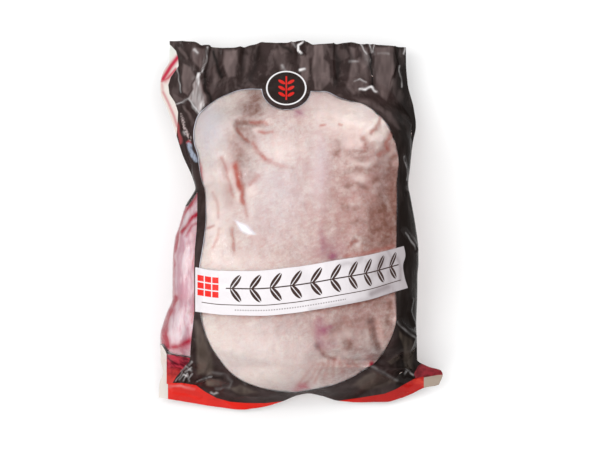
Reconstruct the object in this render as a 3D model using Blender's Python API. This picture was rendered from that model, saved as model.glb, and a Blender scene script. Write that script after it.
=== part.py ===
"""A raw whole duck, breast up, shut in a printed clear bag that lies on its back.

The bag clings to the duck, so bag and duck are one solid: a domed body on a flat underside,
a gathered header flap at the leg end and a thin seal flap, in two lobes, at the neck end.
X runs across the pack, Y from the seal to the header and Z up. The tables are in millimetres,
and the mesh is written in metres.
"""

import bpy
import numpy as np

MM = 0.001

# ---- Driving dimensions -------------------------------------------------------------------
FLAP_THICKNESS = 2.0        # the film flaps, gathered, at their thickest
KEEL_OFFSET = 0.09          # how far the dome's ridge leans to +X, as a share of its half width
LEFT_FULLNESS = 2.7         # powers of the cross section: the larger, the squarer
RIGHT_FULLNESS = 2.4
BACK_FULLNESS = 3.0
ROUND_WALL = 0.45           # 0.5 is an upright wall at the side line, 1 a slanting one
SLANTED_WALL = 1.15
SLANT_WIDTH = 14.0          # width of flat film at which the wall is all slanting
UNDERSIDE_SINK = 5.0        # how far the round back would reach below the floor: a flat patch
SINK_START = 12.0           # depth of the back at which that patch has its full width
DOME_BLEND = 0.25           # height, as a share of the dome's, over which the folds set in
RIM_POWER = 8               # how late the film's thickness runs out towards the side edges
SEAL_LEVEL = -174.0         # mean place of the seal and of the header's edge
HEADER_LEVEL = 190.0
LOBE_REACH = 34.0           # how far in from the seal its two lobes bend the rows of the mesh
HEADER_REACH = 30.0         # the same for the wavy header edge
HEADER_START = 128.0        # where the header's gathers begin
SEAL_START = -150.0         # where the seal flap's waves begin

COLUMNS = 56                # across the shown side; the underside has half as many
ROWS = 68                   # from the seal to the header
COLUMN_CROWDING = 0.4       # how much closer the columns are to each other at the sides
ROW_CROWDING = 0.06         # the same for the rows at both ends

# Outlines seen from above: (y, x) down both sides, (x, y) along both ends.
LEFT_EDGE = ((-174, -132), (-158, -131), (-146, -127), (-134, -129), (-111, -129), (-99, -126),
             (-87, -122), (-75, -117), (-40, -117), (-15, -115), (-3, -111), (16, -105.5),
             (23, -101.8), (30, -97.4), (36, -94.8), (46, -97.2), (71, -108), (96, -116),
             (121, -125), (135, -131), (146, -132), (159, -129), (171, -123), (190, -123))
RIGHT_EDGE = ((-174, 149), (-162, 150.5), (-150, 153), (-144.5, 151), (-140.5, 138), (-134, 127),
              (-123, 126.5), (-99, 125.5), (-75, 126.5), (-51, 127), (-39, 128), (-27, 128),
              (-3, 125.5), (21, 121.5), (40, 118.5), (58, 120.5), (83, 123.5), (102, 127),
              (121, 125), (146, 119.5), (170, 118), (190, 118))
SEAL_EDGE = ((-132, -171), (-104, -175.5), (-72, -180.5), (-48, -183), (-32, -181.5),
             (-8, -174.7), (8, -168.7), (20, -167), (32, -169.5), (48, -174), (64, -175.6),
             (96, -175.2), (112, -171.5), (121, -168), (134, -161.5), (149, -158.5))
HEADER_EDGE = ((-123, 191), (-98, 190.5), (-88, 185), (-74, 183.8), (-57, 181.8), (-49, 183.2),
               (-40, 187), (-25, 189), (-8, 187.8), (8, 189.2), (16, 189.5), (24, 185.5),
               (40, 187.2), (57, 189), (73, 187.2), (98, 185.4), (118, 184.5))

# Heights along the pack: (y, z). The side line is where the pack is widest.
RIDGE_HEIGHT = ((-174, 12), (-170, 26), (-165, 45), (-159, 60), (-150, 73), (-138, 83),
                (-122, 91), (-105, 97), (-70, 104), (-25, 106), (20, 102), (60, 96),
                (95, 85), (120, 71), (138, 57), (152, 45), (166, 36), (190, 27))
SIDE_HEIGHT = ((-174, 9), (-158, 14), (-135, 27), (-105, 39), (-40, 42), (30, 42),
               (90, 37), (125, 30), (150, 26), (190, 25))
BELLY_HEIGHT = ((-174, 8), (-166, 9), (-156, 4), (-140, 0), (112, 0), (128, 6),
                (145, 17), (160, 22), (190, 23))

# How far inside each side edge the domed body ends: past it only flat film is left.
LEFT_FILM = ((-174, 75), (-165, 56), (-157, 36), (-148, 19), (-136, 6), (-120, 0),
             (46, 0), (60, 3), (98, 7), (118, 14), (135, 24), (152, 37), (172, 50), (190, 55))
RIGHT_FILM = ((-174, 88), (-162, 70), (-150, 46), (-146.5, 40), (-142, 24), (-135, 12),
              (-124, 2), (-115, 0), (70, 0), (98, 4), (118, 9), (135, 17), (152, 33),
              (172, 50), (190, 58))

# Folds of skin and film on the shown side: the line's points, half width, height.
FOLDS = (
    (((-52, 98), (-49, 84), (-41, 75)), 4.5, -1.8),              # V crease of the left leg
    (((-52, 98), (-37, 97), (-21, 94)), 4.5, -1.8),
    (((-34, 72), (-25, 59), (-17, 52), (1, 51)), 4.5, -1.3),     # crease round its hock
    (((-55, 60), (-49, 37), (-44, 15), (-40, -7)), 7.0, -2.2),   # groove beside the breast
    (((-67, 60), (-62, 46), (-57, 29)), 5.0, -1.2),
    (((31, 46), (31, -13), (35, -81), (35, -114)), 10.0, 1.0),   # the keel
    (((-93, 14), (-96, -33), (-98, -82), (-99, -121)), 6.0, -2.0),   # wing against body
    (((29, -125), (35, -132), (43, -136)), 4.0, -2.5),           # creases at the neck end
    (((81, -102), (83, -113), (87, -127)), 4.5, -3.5),
    (((105, -99), (114, -107), (124, -112)), 3.5, 3.5),          # film folds over the right wing
    (((114, -147), (119, -144), (124, -149)), 4.0, 3.5),
    (((-94, -156), (-79, -151), (-63, -154)), 5.0, 4.0),         # film folds over the neck end
    (((-114, -155), (-106, -146), (-98, -136)), 5.0, 4.0),
    (((79, -142), (94, -148), (107, -154), (117, -158)), 4.0, 3.5),
    (((-115, 188), (-102, 168), (-89, 148)), 4.0, 4.0),          # folded corner of the header
    (((-106, 102), (-100, 84), (-95, 64)), 4.5, -3.5),           # film drawn in at the waist
)

# Swellings and hollows of the duck: (x, y), half lengths along x and y, height.
SWELLINGS = (
    ((-72, 93), 20.0, 40.0, 7.0),      # left leg
    ((80, 93), 24.0, 27.0, 9.0),       # right leg
    ((-5, 111), 34.0, 16.0, 3.0),      # belly between the legs
    ((-109, -62), 13.0, 60.0, 7.0),    # left wing
    ((-111, -109), 13.0, 20.0, 5.0),   # its elbow
    ((108, -97), 14.0, 30.0, 6.0),     # right wing
    ((97, 40), 10.0, 30.0, -8.0),      # hollow between right leg and wing
    ((-84, 21), 10.0, 26.0, -4.0),     # hollow between left leg and wing
    ((60, -68), 34.0, 40.0, -3.0),     # slope beside the keel
    ((-27, -69), 46.0, 60.0, 2.5),     # left breast
)

# Gathers of the header: x at its edge, x at their root, half width, height.
HEADER_GATHERS = ((-85, -92, 5.0, 5.0), (-62, -60, 11.0, 4.5), (-38, -32, 7.0, -4.0),
                  (-8, -6, 5.0, 4.0), (9, 6, 5.0, 5.5), (26, 24, 6.0, 4.5),
                  (45, 44, 8.0, -5.0), (64, 66, 5.0, 4.0), (85, 84, 12.0, 5.0),
                  (107, 112, 5.0, -4.0))
# Waves of the seal flap: x, half width, height.
SEAL_WAVES = ((-122, 14.0, 3.0), (-55, 32.0, -3.0), (14, 18.0, 5.0), (76, 28.0, -3.0),
              (140, 16.0, 7.0))

FILM_ROUGHNESS = 0.22
SKIN_UNDER_FILM = (0.73, 0.55, 0.50, 1.0)


def smooth_curve(points):
    """Return a function through (place, value) points that never overshoots between them."""
    place, value = (np.array(column, float) for column in zip(*points))
    step = np.diff(place)
    rise = np.diff(value) / step
    same_way = rise[:-1] * rise[1:] > 0.0
    mean = 2.0 * rise[:-1] * rise[1:] / np.where(same_way, rise[:-1] + rise[1:], 1.0)
    slope = np.concatenate(([rise[0]], np.where(same_way, mean, 0.0), [rise[-1]]))

    def curve(at):
        at = np.clip(at, place[0], place[-1])
        i = np.clip(np.searchsorted(place, at) - 1, 0, len(step) - 1)
        t = (at - place[i]) / step[i]
        bend = step[i] * t * (1.0 - t)
        ease = t * t * (3.0 - 2.0 * t)
        line = value[i] + (value[i + 1] - value[i]) * ease
        return line + bend * ((1.0 - t) * slope[i] - t * slope[i + 1])

    return curve


def smooth_step(low, high, at):
    """Rise from 0 at low to 1 at high."""
    t = np.clip((at - low) / (high - low), 0.0, 1.0)
    return t * t * (3.0 - 2.0 * t)


def distance_to_line(x, y, points):
    """Return the distance from each (x, y) to a line through the points."""
    nearest = np.full(np.shape(x), np.inf)
    for (ax, ay), (bx, by) in zip(points[:-1], points[1:]):
        run_x, run_y = bx - ax, by - ay
        along = ((x - ax) * run_x + (y - ay) * run_y) / (run_x ** 2 + run_y ** 2)
        along = np.clip(along, 0.0, 1.0)
        nearest = np.minimum(nearest, np.hypot(x - ax - along * run_x, y - ay - along * run_y))
    return nearest


def relief(x, y):
    """Height of the folds and swellings of the shown side at (x, y)."""
    height = np.zeros(np.shape(x))
    for points, half_width, rise in FOLDS:
        height += rise * np.exp(-(distance_to_line(x, y, points) / half_width) ** 2)
    for (cx, cy), length_x, length_y, rise in SWELLINGS:
        height += rise * np.exp(-((x - cx) / length_x) ** 2 - ((y - cy) / length_y) ** 2)
    return height


def flap_wave(x, y):
    """How far the gathers and waves lift both faces of the header and seal flaps."""
    lift = np.zeros(np.shape(x))
    in_header = smooth_step(HEADER_START, HEADER_LEVEL, y)
    for edge_x, root_x, half_width, rise in HEADER_GATHERS:
        crest = root_x + (edge_x - root_x) * in_header
        lift += rise * in_header * np.exp(-((x - crest) / half_width) ** 2)
    in_seal = smooth_step(SEAL_START, SEAL_LEVEL, y)
    for wave_x, half_width, rise in SEAL_WAVES:
        lift += rise * in_seal * np.exp(-((x - wave_x) / half_width) ** 2)
    return lift


def pack_plan(u, v):
    """Return the level along the pack, x and y, for u across and v along.

    u is -1 on the left edge and 1 on the right one. v is 0 at the seal and 1 at the header.
    """
    share = (u + 1.0) / 2.0
    level = SEAL_LEVEL + (HEADER_LEVEL - SEAL_LEVEL) * v
    left, right = smooth_curve(LEFT_EDGE)(level), smooth_curve(RIGHT_EDGE)(level)
    x = left + (right - left) * share
    seal_x = LEFT_EDGE[0][1] + (RIGHT_EDGE[0][1] - LEFT_EDGE[0][1]) * share
    header_x = LEFT_EDGE[-1][1] + (RIGHT_EDGE[-1][1] - LEFT_EDGE[-1][1]) * share
    from_seal = np.clip((level - SEAL_LEVEL) / LOBE_REACH, 0.0, 1.0)
    from_header = np.clip((HEADER_LEVEL - level) / HEADER_REACH, 0.0, 1.0)
    y = level + (smooth_curve(SEAL_EDGE)(seal_x) - SEAL_LEVEL) * (1.0 - from_seal) ** 2
    y = y + (smooth_curve(HEADER_EDGE)(header_x) - HEADER_LEVEL) * (1.0 - from_header) ** 2
    return level, x, y


def pack_surface(u, v):
    """Return x, y and the heights of the upper and lower face, for u across and v along."""
    level, x, y = pack_plan(u, v)
    left, right = smooth_curve(LEFT_EDGE)(level), smooth_curve(RIGHT_EDGE)(level)
    body_left = left + smooth_curve(LEFT_FILM)(level)
    body_right = right - smooth_curve(RIGHT_FILM)(level)
    middle = (body_left + body_right) / 2.0
    across = np.clip((x - middle) / ((body_right - body_left) / 2.0), -1.0, 1.0)
    leaning = across - KEEL_OFFSET * (1.0 - across ** 2)
    film_width = np.where(x < middle, body_left - left, right - body_right)
    slant = smooth_step(0.0, SLANT_WIDTH, film_width)
    fullness = np.where(leaning < 0.0, LEFT_FULLNESS, RIGHT_FULLNESS)
    wall = ROUND_WALL + (SLANTED_WALL - ROUND_WALL) * slant
    dome = (1.0 - np.abs(leaning) ** fullness) ** wall
    back = (1.0 - np.abs(across) ** BACK_FULLNESS) ** (0.5 + 0.5 * slant)

    side_line = smooth_curve(SIDE_HEIGHT)(level)
    side = side_line + flap_wave(x, level)
    to_ends = np.sqrt(np.clip(np.sin(np.pi * v), 0.0, 1.0))
    film = FLAP_THICKNESS / 2.0 * np.sqrt(1.0 - u ** RIM_POWER) * to_ends
    rise = smooth_curve(RIDGE_HEIGHT)(level) - side_line
    drop = side_line - smooth_curve(BELLY_HEIGHT)(level)
    drop = drop + UNDERSIDE_SINK * smooth_step(0.0, SINK_START, drop)
    top = side + film + rise * dome + relief(x, y) * smooth_step(0.0, DOME_BLEND, dome)
    bottom = np.maximum(side - film - drop * back, 0.0)
    return x, y, top, bottom


def build_mesh():
    """Return the points and faces of the closed pack: two grids that share their outline."""
    t = np.linspace(-1.0, 1.0, COLUMNS + 1)
    u = (1.0 - COLUMN_CROWDING) * t + COLUMN_CROWDING * np.sin(np.pi / 2.0 * t)
    s = np.linspace(0.0, 1.0, ROWS + 1)
    v = s - ROW_CROWDING * np.sin(2.0 * np.pi * s)
    x, y, top, bottom = pack_surface(u[None, :], v[:, None])

    points = [(px * MM, py * MM, pz * MM) for px, py, pz in zip(x.flat, y.flat, top.flat)]

    def upper(row, column):
        return row * (COLUMNS + 1) + column

    lower_at = {}
    for row in range(ROWS + 1):
        for column in range(0, COLUMNS + 1, 2):
            if row in (0, ROWS) or column in (0, COLUMNS):
                lower_at[row, column] = upper(row, column)
            else:
                lower_at[row, column] = len(points)
                points.append((x[row, column] * MM, y[row, column] * MM, bottom[row, column] * MM))

    faces = []
    for row in range(ROWS):
        for column in range(COLUMNS):
            a, b = upper(row, column), upper(row, column + 1)
            d, c = upper(row + 1, column), upper(row + 1, column + 1)
            faces += [(a, b, c), (a, c, d)]
        for column in range(0, COLUMNS, 2):
            near = [lower_at[row, column], lower_at[row, column + 2]]
            far = [lower_at[row + 1, column], lower_at[row + 1, column + 2]]
            if row == 0:
                middle = upper(0, column + 1)
                faces += [(near[0], far[0], middle), (middle, far[0], far[1]), (middle, far[1], near[1])]
            elif row == ROWS - 1:
                middle = upper(ROWS, column + 1)
                faces += [(near[0], far[0], middle), (near[0], middle, near[1]), (near[1], middle, far[1])]
            else:
                faces += [(near[0], far[1], near[1]), (near[0], far[0], far[1])]
    return points, faces


def pack_material():
    """Glossy clear film over pale raw skin."""
    material = bpy.data.materials.new("skin_under_film")
    material.use_nodes = True
    shader = material.node_tree.nodes["Principled BSDF"]
    shader.inputs["Base Color"].default_value = SKIN_UNDER_FILM
    shader.inputs["Roughness"].default_value = FILM_ROUGHNESS
    shader.inputs["Metallic"].default_value = 0.0
    return material


def add_pack():
    """Make the duck_pack object, with the middle of its underside at the origin."""
    points, faces = build_mesh()
    points = np.array(points)
    low, high = points.min(axis=0), points.max(axis=0)
    points -= ((low[0] + high[0]) / 2.0, (low[1] + high[1]) / 2.0, low[2])
    mesh = bpy.data.meshes.new("duck_pack")
    mesh.from_pydata(points.tolist(), [], faces)
    mesh.materials.append(pack_material())
    mesh.shade_smooth()
    mesh.update()
    pack = bpy.data.objects.new("duck_pack", mesh)
    bpy.context.scene.collection.objects.link(pack)
    return pack


for old in list(bpy.data.objects):
    bpy.data.objects.remove(old, do_unlink=True)
add_pack()
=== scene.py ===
"""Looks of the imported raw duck: the bird, the printed and the clear film around it, floor and light.

The form repeats the construction's own rules, on a finer grid and with finer folds. Places on the
print and on the skin are given as places in the photograph, in pixels of its 600 x 450 frame,
and a millimetre of the pack is one pixel there. The points of a line or an outline are a plain row
of x, y, x, y, and in a table the line's own measures stand before them.
"""

import math

import bpy
import numpy as np
from mathutils import Matrix, Vector


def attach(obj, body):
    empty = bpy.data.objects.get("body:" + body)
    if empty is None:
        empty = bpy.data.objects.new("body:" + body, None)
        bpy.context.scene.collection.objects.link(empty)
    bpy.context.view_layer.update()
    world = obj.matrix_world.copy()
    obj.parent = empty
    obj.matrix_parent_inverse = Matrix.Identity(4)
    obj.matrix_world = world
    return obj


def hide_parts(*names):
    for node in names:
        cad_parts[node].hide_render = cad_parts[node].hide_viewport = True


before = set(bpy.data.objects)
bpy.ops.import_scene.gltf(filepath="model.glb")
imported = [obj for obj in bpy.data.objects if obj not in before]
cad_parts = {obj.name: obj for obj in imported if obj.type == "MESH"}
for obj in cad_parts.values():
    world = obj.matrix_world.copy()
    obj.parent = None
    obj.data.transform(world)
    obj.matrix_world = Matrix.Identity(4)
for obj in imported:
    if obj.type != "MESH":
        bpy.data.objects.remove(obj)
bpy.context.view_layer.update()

MM = 0.001

# ---- Camera: the photograph looks almost straight down ----
IMAGE_SIZE = (600, 450)
CAMERA_ELEVATION = math.radians(83.0)
CAMERA_DISTANCE = 1.9
AIMED_AT = (10.0, 0.0, 40.0)        # of the tables below, in millimetres
PIXELS_PER_METRE = 1000.0           # at the camera's aim
SENSOR_WIDTH = 36.0

# ---- The pack's form, in millimetres, as it is constructed ----
FLAP_THICKNESS = 2.0        # the film flaps, gathered, at their thickest
KEEL_OFFSET = 0.09          # how far the dome's ridge leans to +X, as a share of its half width
LEFT_FULLNESS = 2.7         # powers of the cross section: the larger, the squarer
RIGHT_FULLNESS = 2.4
BACK_FULLNESS = 3.0
ROUND_WALL = 0.45           # 0.5 is an upright wall at the side line, 1 a slanting one
SLANTED_WALL = 1.15
SLANT_WIDTH = 14.0          # width of flat film at which the wall is all slanting
UNDERSIDE_SINK = 5.0        # how far the round back would reach below the floor: a flat patch
SINK_START = 12.0           # depth of the back at which that patch has its full width
DOME_BLEND = 0.25           # height, as a share of the dome's, over which the folds set in
RIM_POWER = 8               # how late the film's thickness runs out towards the side edges
SEAL_LEVEL = -174.0         # mean place of the seal and of the header's edge
HEADER_LEVEL = 190.0
LOBE_REACH = 34.0           # how far in from the seal its two lobes bend the rows of the mesh
HEADER_REACH = 30.0         # the same for the wavy header edge
HEADER_START = 128.0        # where the header's gathers begin
SEAL_START = -150.0         # where the seal flap's waves begin
CENTRING_STEPS = 401        # points across and along with which the pack's middle is found

# Outlines seen from above: (y, x) down both sides, (x, y) along both ends.
LEFT_EDGE = ((-174, -132), (-158, -131), (-146, -127), (-134, -129), (-111, -129), (-99, -126),
             (-87, -122), (-75, -117), (-40, -117), (-15, -115), (-3, -111), (16, -105.5),
             (23, -101.8), (30, -97.4), (36, -94.8), (46, -97.2), (71, -108), (96, -116),
             (121, -125), (135, -131), (146, -132), (159, -129), (171, -123), (190, -123))
RIGHT_EDGE = ((-174, 149), (-162, 150.5), (-150, 153), (-144.5, 151), (-140.5, 138), (-134, 127),
              (-123, 126.5), (-99, 125.5), (-75, 126.5), (-51, 127), (-39, 128), (-27, 128),
              (-3, 125.5), (21, 121.5), (40, 118.5), (58, 120.5), (83, 123.5), (102, 127),
              (121, 125), (146, 119.5), (170, 118), (190, 118))
SEAL_EDGE = ((-132, -171), (-104, -175.5), (-72, -180.5), (-48, -183), (-32, -181.5),
             (-8, -174.7), (8, -168.7), (20, -167), (32, -169.5), (48, -174), (64, -175.6),
             (96, -175.2), (112, -171.5), (121, -168), (134, -161.5), (149, -158.5))
HEADER_EDGE = ((-123, 191), (-98, 190.5), (-88, 185), (-74, 183.8), (-57, 181.8), (-49, 183.2),
               (-40, 187), (-25, 189), (-8, 187.8), (8, 189.2), (16, 189.5), (24, 185.5),
               (40, 187.2), (57, 189), (73, 187.2), (98, 185.4), (118, 184.5))

# Heights along the pack: (y, z). The side line is where the pack is widest.
RIDGE_HEIGHT = ((-174, 12), (-170, 26), (-165, 45), (-159, 60), (-150, 73), (-138, 83),
                (-122, 91), (-105, 97), (-70, 104), (-25, 106), (20, 102), (60, 96),
                (95, 85), (120, 71), (138, 57), (152, 45), (166, 36), (190, 27))
SIDE_HEIGHT = ((-174, 9), (-158, 14), (-135, 27), (-105, 39), (-40, 42), (30, 42),
               (90, 37), (125, 30), (150, 26), (190, 25))
BELLY_HEIGHT = ((-174, 8), (-166, 9), (-156, 4), (-140, 0), (112, 0), (128, 6),
                (145, 17), (160, 22), (190, 23))

# How far inside each side edge the domed body ends: past it only flat film is left.
LEFT_FILM = ((-174, 75), (-165, 56), (-157, 36), (-148, 19), (-136, 6), (-120, 0),
             (46, 0), (60, 3), (98, 7), (118, 14), (135, 24), (152, 37), (172, 50), (190, 55))
RIGHT_FILM = ((-174, 88), (-162, 70), (-150, 46), (-146.5, 40), (-142, 24), (-135, 12),
              (-124, 2), (-115, 0), (70, 0), (98, 4), (118, 9), (135, 17), (152, 33),
              (172, 50), (190, 58))

# Folds of skin and film on the shown side: half width, height, then the line.
FOLDS = (
    (4.5, -1.8, -52, 98, -49, 84, -41, 75),                 # V crease of the left leg
    (4.5, -1.8, -52, 98, -37, 97, -21, 94),
    (4.5, -1.3, -34, 72, -25, 59, -17, 52, 1, 51),          # crease round its hock
    (7, -2.2, -55, 60, -49, 37, -44, 15, -40, -7),          # groove beside the breast
    (5, -1.2, -67, 60, -62, 46, -57, 29),
    (10, 1, 31, 46, 31, -13, 35, -81, 35, -114),            # the keel
    (6, -2, -93, 14, -96, -33, -98, -82, -99, -121),        # wing against body
    (4, -2.5, 29, -125, 35, -132, 43, -136),                # creases at the neck end
    (4.5, -3.5, 81, -102, 83, -113, 87, -127),
    (3.5, 3.5, 105, -99, 114, -107, 124, -112),             # film folds over the right wing
    (4, 3.5, 114, -147, 119, -144, 124, -149),
    (5, 4, -94, -156, -79, -151, -63, -154),                # film folds over the neck end
    (5, 4, -114, -155, -106, -146, -98, -136),
    (4, 3.5, 79, -142, 94, -148, 107, -154, 117, -158),
    (4, 4, -115, 188, -102, 168, -89, 148),                 # folded corner of the header
    (4.5, -3.5, -106, 102, -100, 84, -95, 64),              # film drawn in at the waist
)

# Swellings and hollows of the duck: x, y, half lengths along x and y, height.
SWELLINGS = (
    (-72, 93, 20, 40, 7),       # left leg
    (80, 93, 24, 27, 9),        # right leg
    (-5, 111, 34, 16, 3),       # belly between the legs
    (-109, -62, 13, 60, 7),     # left wing
    (-111, -109, 13, 20, 5),    # its elbow
    (108, -97, 14, 30, 6),      # right wing
    (97, 40, 10, 30, -8),       # hollow between right leg and wing
    (-84, 21, 10, 26, -4),      # hollow between left leg and wing
    (60, -68, 34, 40, -3),      # slope beside the keel
    (-27, -69, 46, 60, 2.5),    # left breast
)

# Gathers of the header: x at its edge, x at their root, half width, height.
HEADER_GATHERS = ((-85, -92, 5, 5), (-62, -60, 11, 4.5), (-38, -32, 7, -4), (-8, -6, 5, 4),
                  (9, 6, 5, 5.5), (26, 24, 6, 4.5), (45, 44, 8, -5), (64, 66, 5, 4),
                  (85, 84, 12, 5), (107, 112, 5, -4))
# Waves of the seal flap: x, half width, height.
SEAL_WAVES = ((-122, 14, 3), (-55, 32, -3), (14, 18, 5), (76, 28, -3), (140, 16, 7))

# ---- The pieces' grids and gaps ----
FILM_ROWS = 430
FILM_COLUMNS = 320
BACK_ROWS = 150
BACK_COLUMNS = 110
SKIN_ROWS = 250
SKIN_COLUMNS = 195
CROWDING = 0.45             # how much closer the columns are to each other at the sides
NEAREST_CUT = 0.02          # least distance between the edge of the print and a point of the grid
SKIN_GAP = 0.9              # how far the skin lies under the film
PRESSED_FLAT = 0.5          # highest that its lumps stand, as the film holds them down
BAND_GAP = 1.8              # how much deeper it lies under the band's lower edge
BAND_GAP_REACH = 9.0
BAND_GAP_ENDS = (-3.0, 4.0)  # distances inside the band's ends over which that sets in
PRINT_GAP = 2.6             # how much deeper it lies under the print
PRINT_GAP_REACH = 5.0
SKIN_SPAN = (0.006, 0.905)  # where along the pack the bird begins and ends
SKIN_RIM = 0.02             # share of the width at each side over which its relief sets in
FILM_RIM = 0.03             # the same for the shown film, as a share of its half width
LEAST_BODY = 0.5            # least thickness of the bird inside its rim
LEAST_HEIGHT = 0.4          # lowest that the shown film lies
CLINGING = 0.3              # height of the skin's lumps in the clear film over them
CLINGING_REACH = 6.0        # distance inside the window over which they set in
LOOSE_REACH = 5.0           # distance outside the window over which the film comes loose
GROOVE_DEPTH = 0.5          # of the skin, where it's brown or rusty
LUMP_HEIGHT = (0.3, 0.9)    # of its lumps, and what is added at the lumpier side
RIPPLE_HEIGHT = 0.3         # of its tight ripples at the neck
RIPPLE_LENGTH = 3.1         # a ripple's length over 2 pi
RIPPLE_BEND = (6.0, 22.0)   # how far noise bends them, and its size

# ---- Finer folds of the loose printed film, at places in the photograph ----
# Tents: width of the flank left of the crest and right of it, height, then the crest.
FILM_TENTS = (
    (13, 3, 3.4, 208, 46, 206, 60, 202, 74), (5, 3, 1.5, 196, 46, 199, 56, 201, 70),
    (8, 3, 1.6, 183, 42, 186, 56, 198, 72), (6, 3, 1.8, 200, 73, 203, 87),
    (17, 3, 4.4, 207, 84, 208, 95, 203, 110), (3, 7, 2.4, 177, 105, 188, 98, 193, 92),
    (3, 5, 1.4, 188, 99, 194, 106, 200, 114), (5, 4, 1.8, 180, 103, 184, 122, 190, 140),
    (17, 5, 4, 240, 46, 238, 62, 235, 80), (5, 4, 1.5, 262, 43, 262, 56, 260, 66),
    (8, 3, 2.4, 292, 41, 291, 57, 292, 75), (3, 3, 2.2, 303, 42, 298, 46, 298, 51, 304, 55),
    (3, 3, 1.4, 300, 69, 305, 72), (17, 4, 4, 333, 44, 331, 60, 333, 78),
    (6, 4, 1.4, 352, 46, 354, 60, 358, 70), (3, 2, 1.4, 367, 43, 371, 53), (3, 2, 1.4, 374, 44, 376, 55),
    (20, 3, 4.6, 397, 45, 396, 58, 392, 76), (2, 2, 0.8, 350, 61, 358, 62),
    (2, 3, 1.4, 353, 80, 360, 79, 367, 83), (3, 3, 2.2, 359, 90, 364, 87, 371, 86, 377, 92),
    (4, 3, 1.8, 399, 60, 402, 74, 403, 88), (7, 4, 1.6, 403, 92, 409, 110, 411, 126),
    (3, 2, 1.2, 404, 156, 407, 170, 407, 184), (3, 3, 1.6, 408, 192, 413, 206, 417, 222),
    (3, 4, 2, 404, 230, 411, 240, 417, 251), (3, 3, 2, 411, 300, 409, 311, 414, 326),
    (3, 5, 2.2, 397, 321, 406, 330, 417, 337), (8, 4, 2.6, 413, 338, 408, 352, 410, 370),
    (3, 3, 2.4, 404, 376, 408, 370, 415, 377), (4, 6, 2.2, 370, 366, 384, 374, 397, 380, 408, 384),
    (3, 5, 1.8, 384, 363, 391, 358, 399, 354), (12, 4, 2.6, 214, 345, 208, 360, 204, 378),
    (3, 3, 1.8, 194, 341, 192, 352, 195, 366), (3, 7, 2.4, 194, 383, 211, 377, 229, 381),
    (3, 3, 1.6, 216, 391, 223, 387, 222, 379), (2, 4, 1.2, 236, 397, 246, 395, 255, 397),
    (2, 3, 2.4, 176, 381, 184, 372, 193, 361), (2, 3, 2, 183, 383, 188, 374, 194, 370),
    (2, 4, 1.6, 163, 349, 176, 352, 190, 358), (3, 4, 1.2, 173, 391, 186, 393, 199, 397),
)
DEEPEST_DENT = -1.2
CRUMPLED_HEADER = (112, 84)     # y between which the header's sharper crumples set in
# Crumples: size along x and y, height, seed.
HEADER_CRUMPLES = (9.0, 17.0, 0.8, 3)
SIDE_CRUMPLES = (13.0, 22.0, 0.6, 8)

STEEP, LEVEL = 0.7, 0.94    # upward parts of the normal between which the film gets its gloss
# Painted sheen on facets of the film, and painted sheens: softness of the rim, strength, outline.
LIT_FACETS = (
    (3.5, 0.65, 223, 49, 238.5, 49, 239.5, 62, 236, 78, 227, 80, 222, 66),
    (4, 0.3, 206, 50, 214, 50, 212, 74, 206, 80), (5, 0.3, 211, 58, 219, 62, 222, 80, 214, 92, 210, 80),
    (5, 0.3, 240, 52, 252, 52, 250, 74, 242, 78),
    (2.5, 0.55, 313, 44, 323, 44, 325, 58, 331, 64, 330, 82, 322, 92, 314, 90, 311, 66),
    (3, 0.5, 276, 43, 288, 44, 290, 54, 280, 56), (3, 0.5, 345, 45, 358, 46, 358, 60, 350, 62),
    (3, 0.4, 304, 44, 314, 44, 314, 58, 306, 60), (3, 0.5, 298, 56, 309, 52, 311, 70, 308, 88, 300, 80),
    (2, 0.22, 326, 46, 346, 48, 351, 56, 338, 64, 330, 60),
    (4, 0.45, 350, 60, 360, 56, 369, 66, 369.5, 90, 354, 97, 344, 88),
    (3, 0.42, 373.5, 46, 394, 46, 395.5, 62, 394, 84, 388, 102, 374, 92, 373.5, 70),
    (3, 0.4, 358, 46, 368, 46, 370, 66, 362, 70),
    (4, 0.4, 270, 50, 280, 46, 288, 56, 290, 76, 284, 82, 276, 66),
    (2, 0.9, 187, 99, 196, 74, 200.5, 73, 203.5, 86, 208, 102, 199, 113, 193, 104),
    (2.5, 0.5, 190, 46, 206, 48, 204, 62, 200, 70, 194, 64),
    (2.5, 0.6, 182, 62, 192, 68, 196, 76, 192, 90, 187, 97, 182, 92, 180, 76),
    (2, 0.4, 176, 46, 182, 46, 190, 58, 186, 60), (2, 0.3, 172, 92, 184, 98, 182, 102, 174, 104),
    (3, 0.5, 180, 104, 186, 104, 196, 122, 192, 128),
    (4, 0.3, 345, 96, 372, 98, 392, 112, 404, 130, 398, 132, 380, 114, 360, 104),
    (5, 0.3, 192, 318, 200, 318, 208, 340, 217, 358, 214, 378, 196, 376),
    (4, 0.28, 372, 368, 394, 378, 404, 382, 386, 388, 362, 392, 350, 384),
    (3, 0.35, 240, 384, 256, 389, 262, 394, 240, 396, 226, 388),
    (3, 0.5, 204, 379, 218, 377, 225, 383, 216, 388, 206, 386),
    (3, 0.25, 398, 328, 414, 340, 414, 372, 404, 370), (2, 0.3, 384, 362, 398, 354, 402, 358, 392, 366),
)
SHEENS = (
    (2, 0.4, 196.5, 72, 200.5, 72, 201.5, 84, 204, 95, 206, 106, 197, 116.5, 191, 106, 187, 98, 193, 86),
    (1.6, 0.55, 196.5, 72, 200.5, 72, 200.8, 82, 199, 88, 195.5, 82),
    (2, 0.3, 199, 104, 203.5, 94, 206, 105, 200, 111),
    (1.5, 0.55, 403.5, 45, 407.5, 45, 405, 55, 402.5, 53),
)
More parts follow.
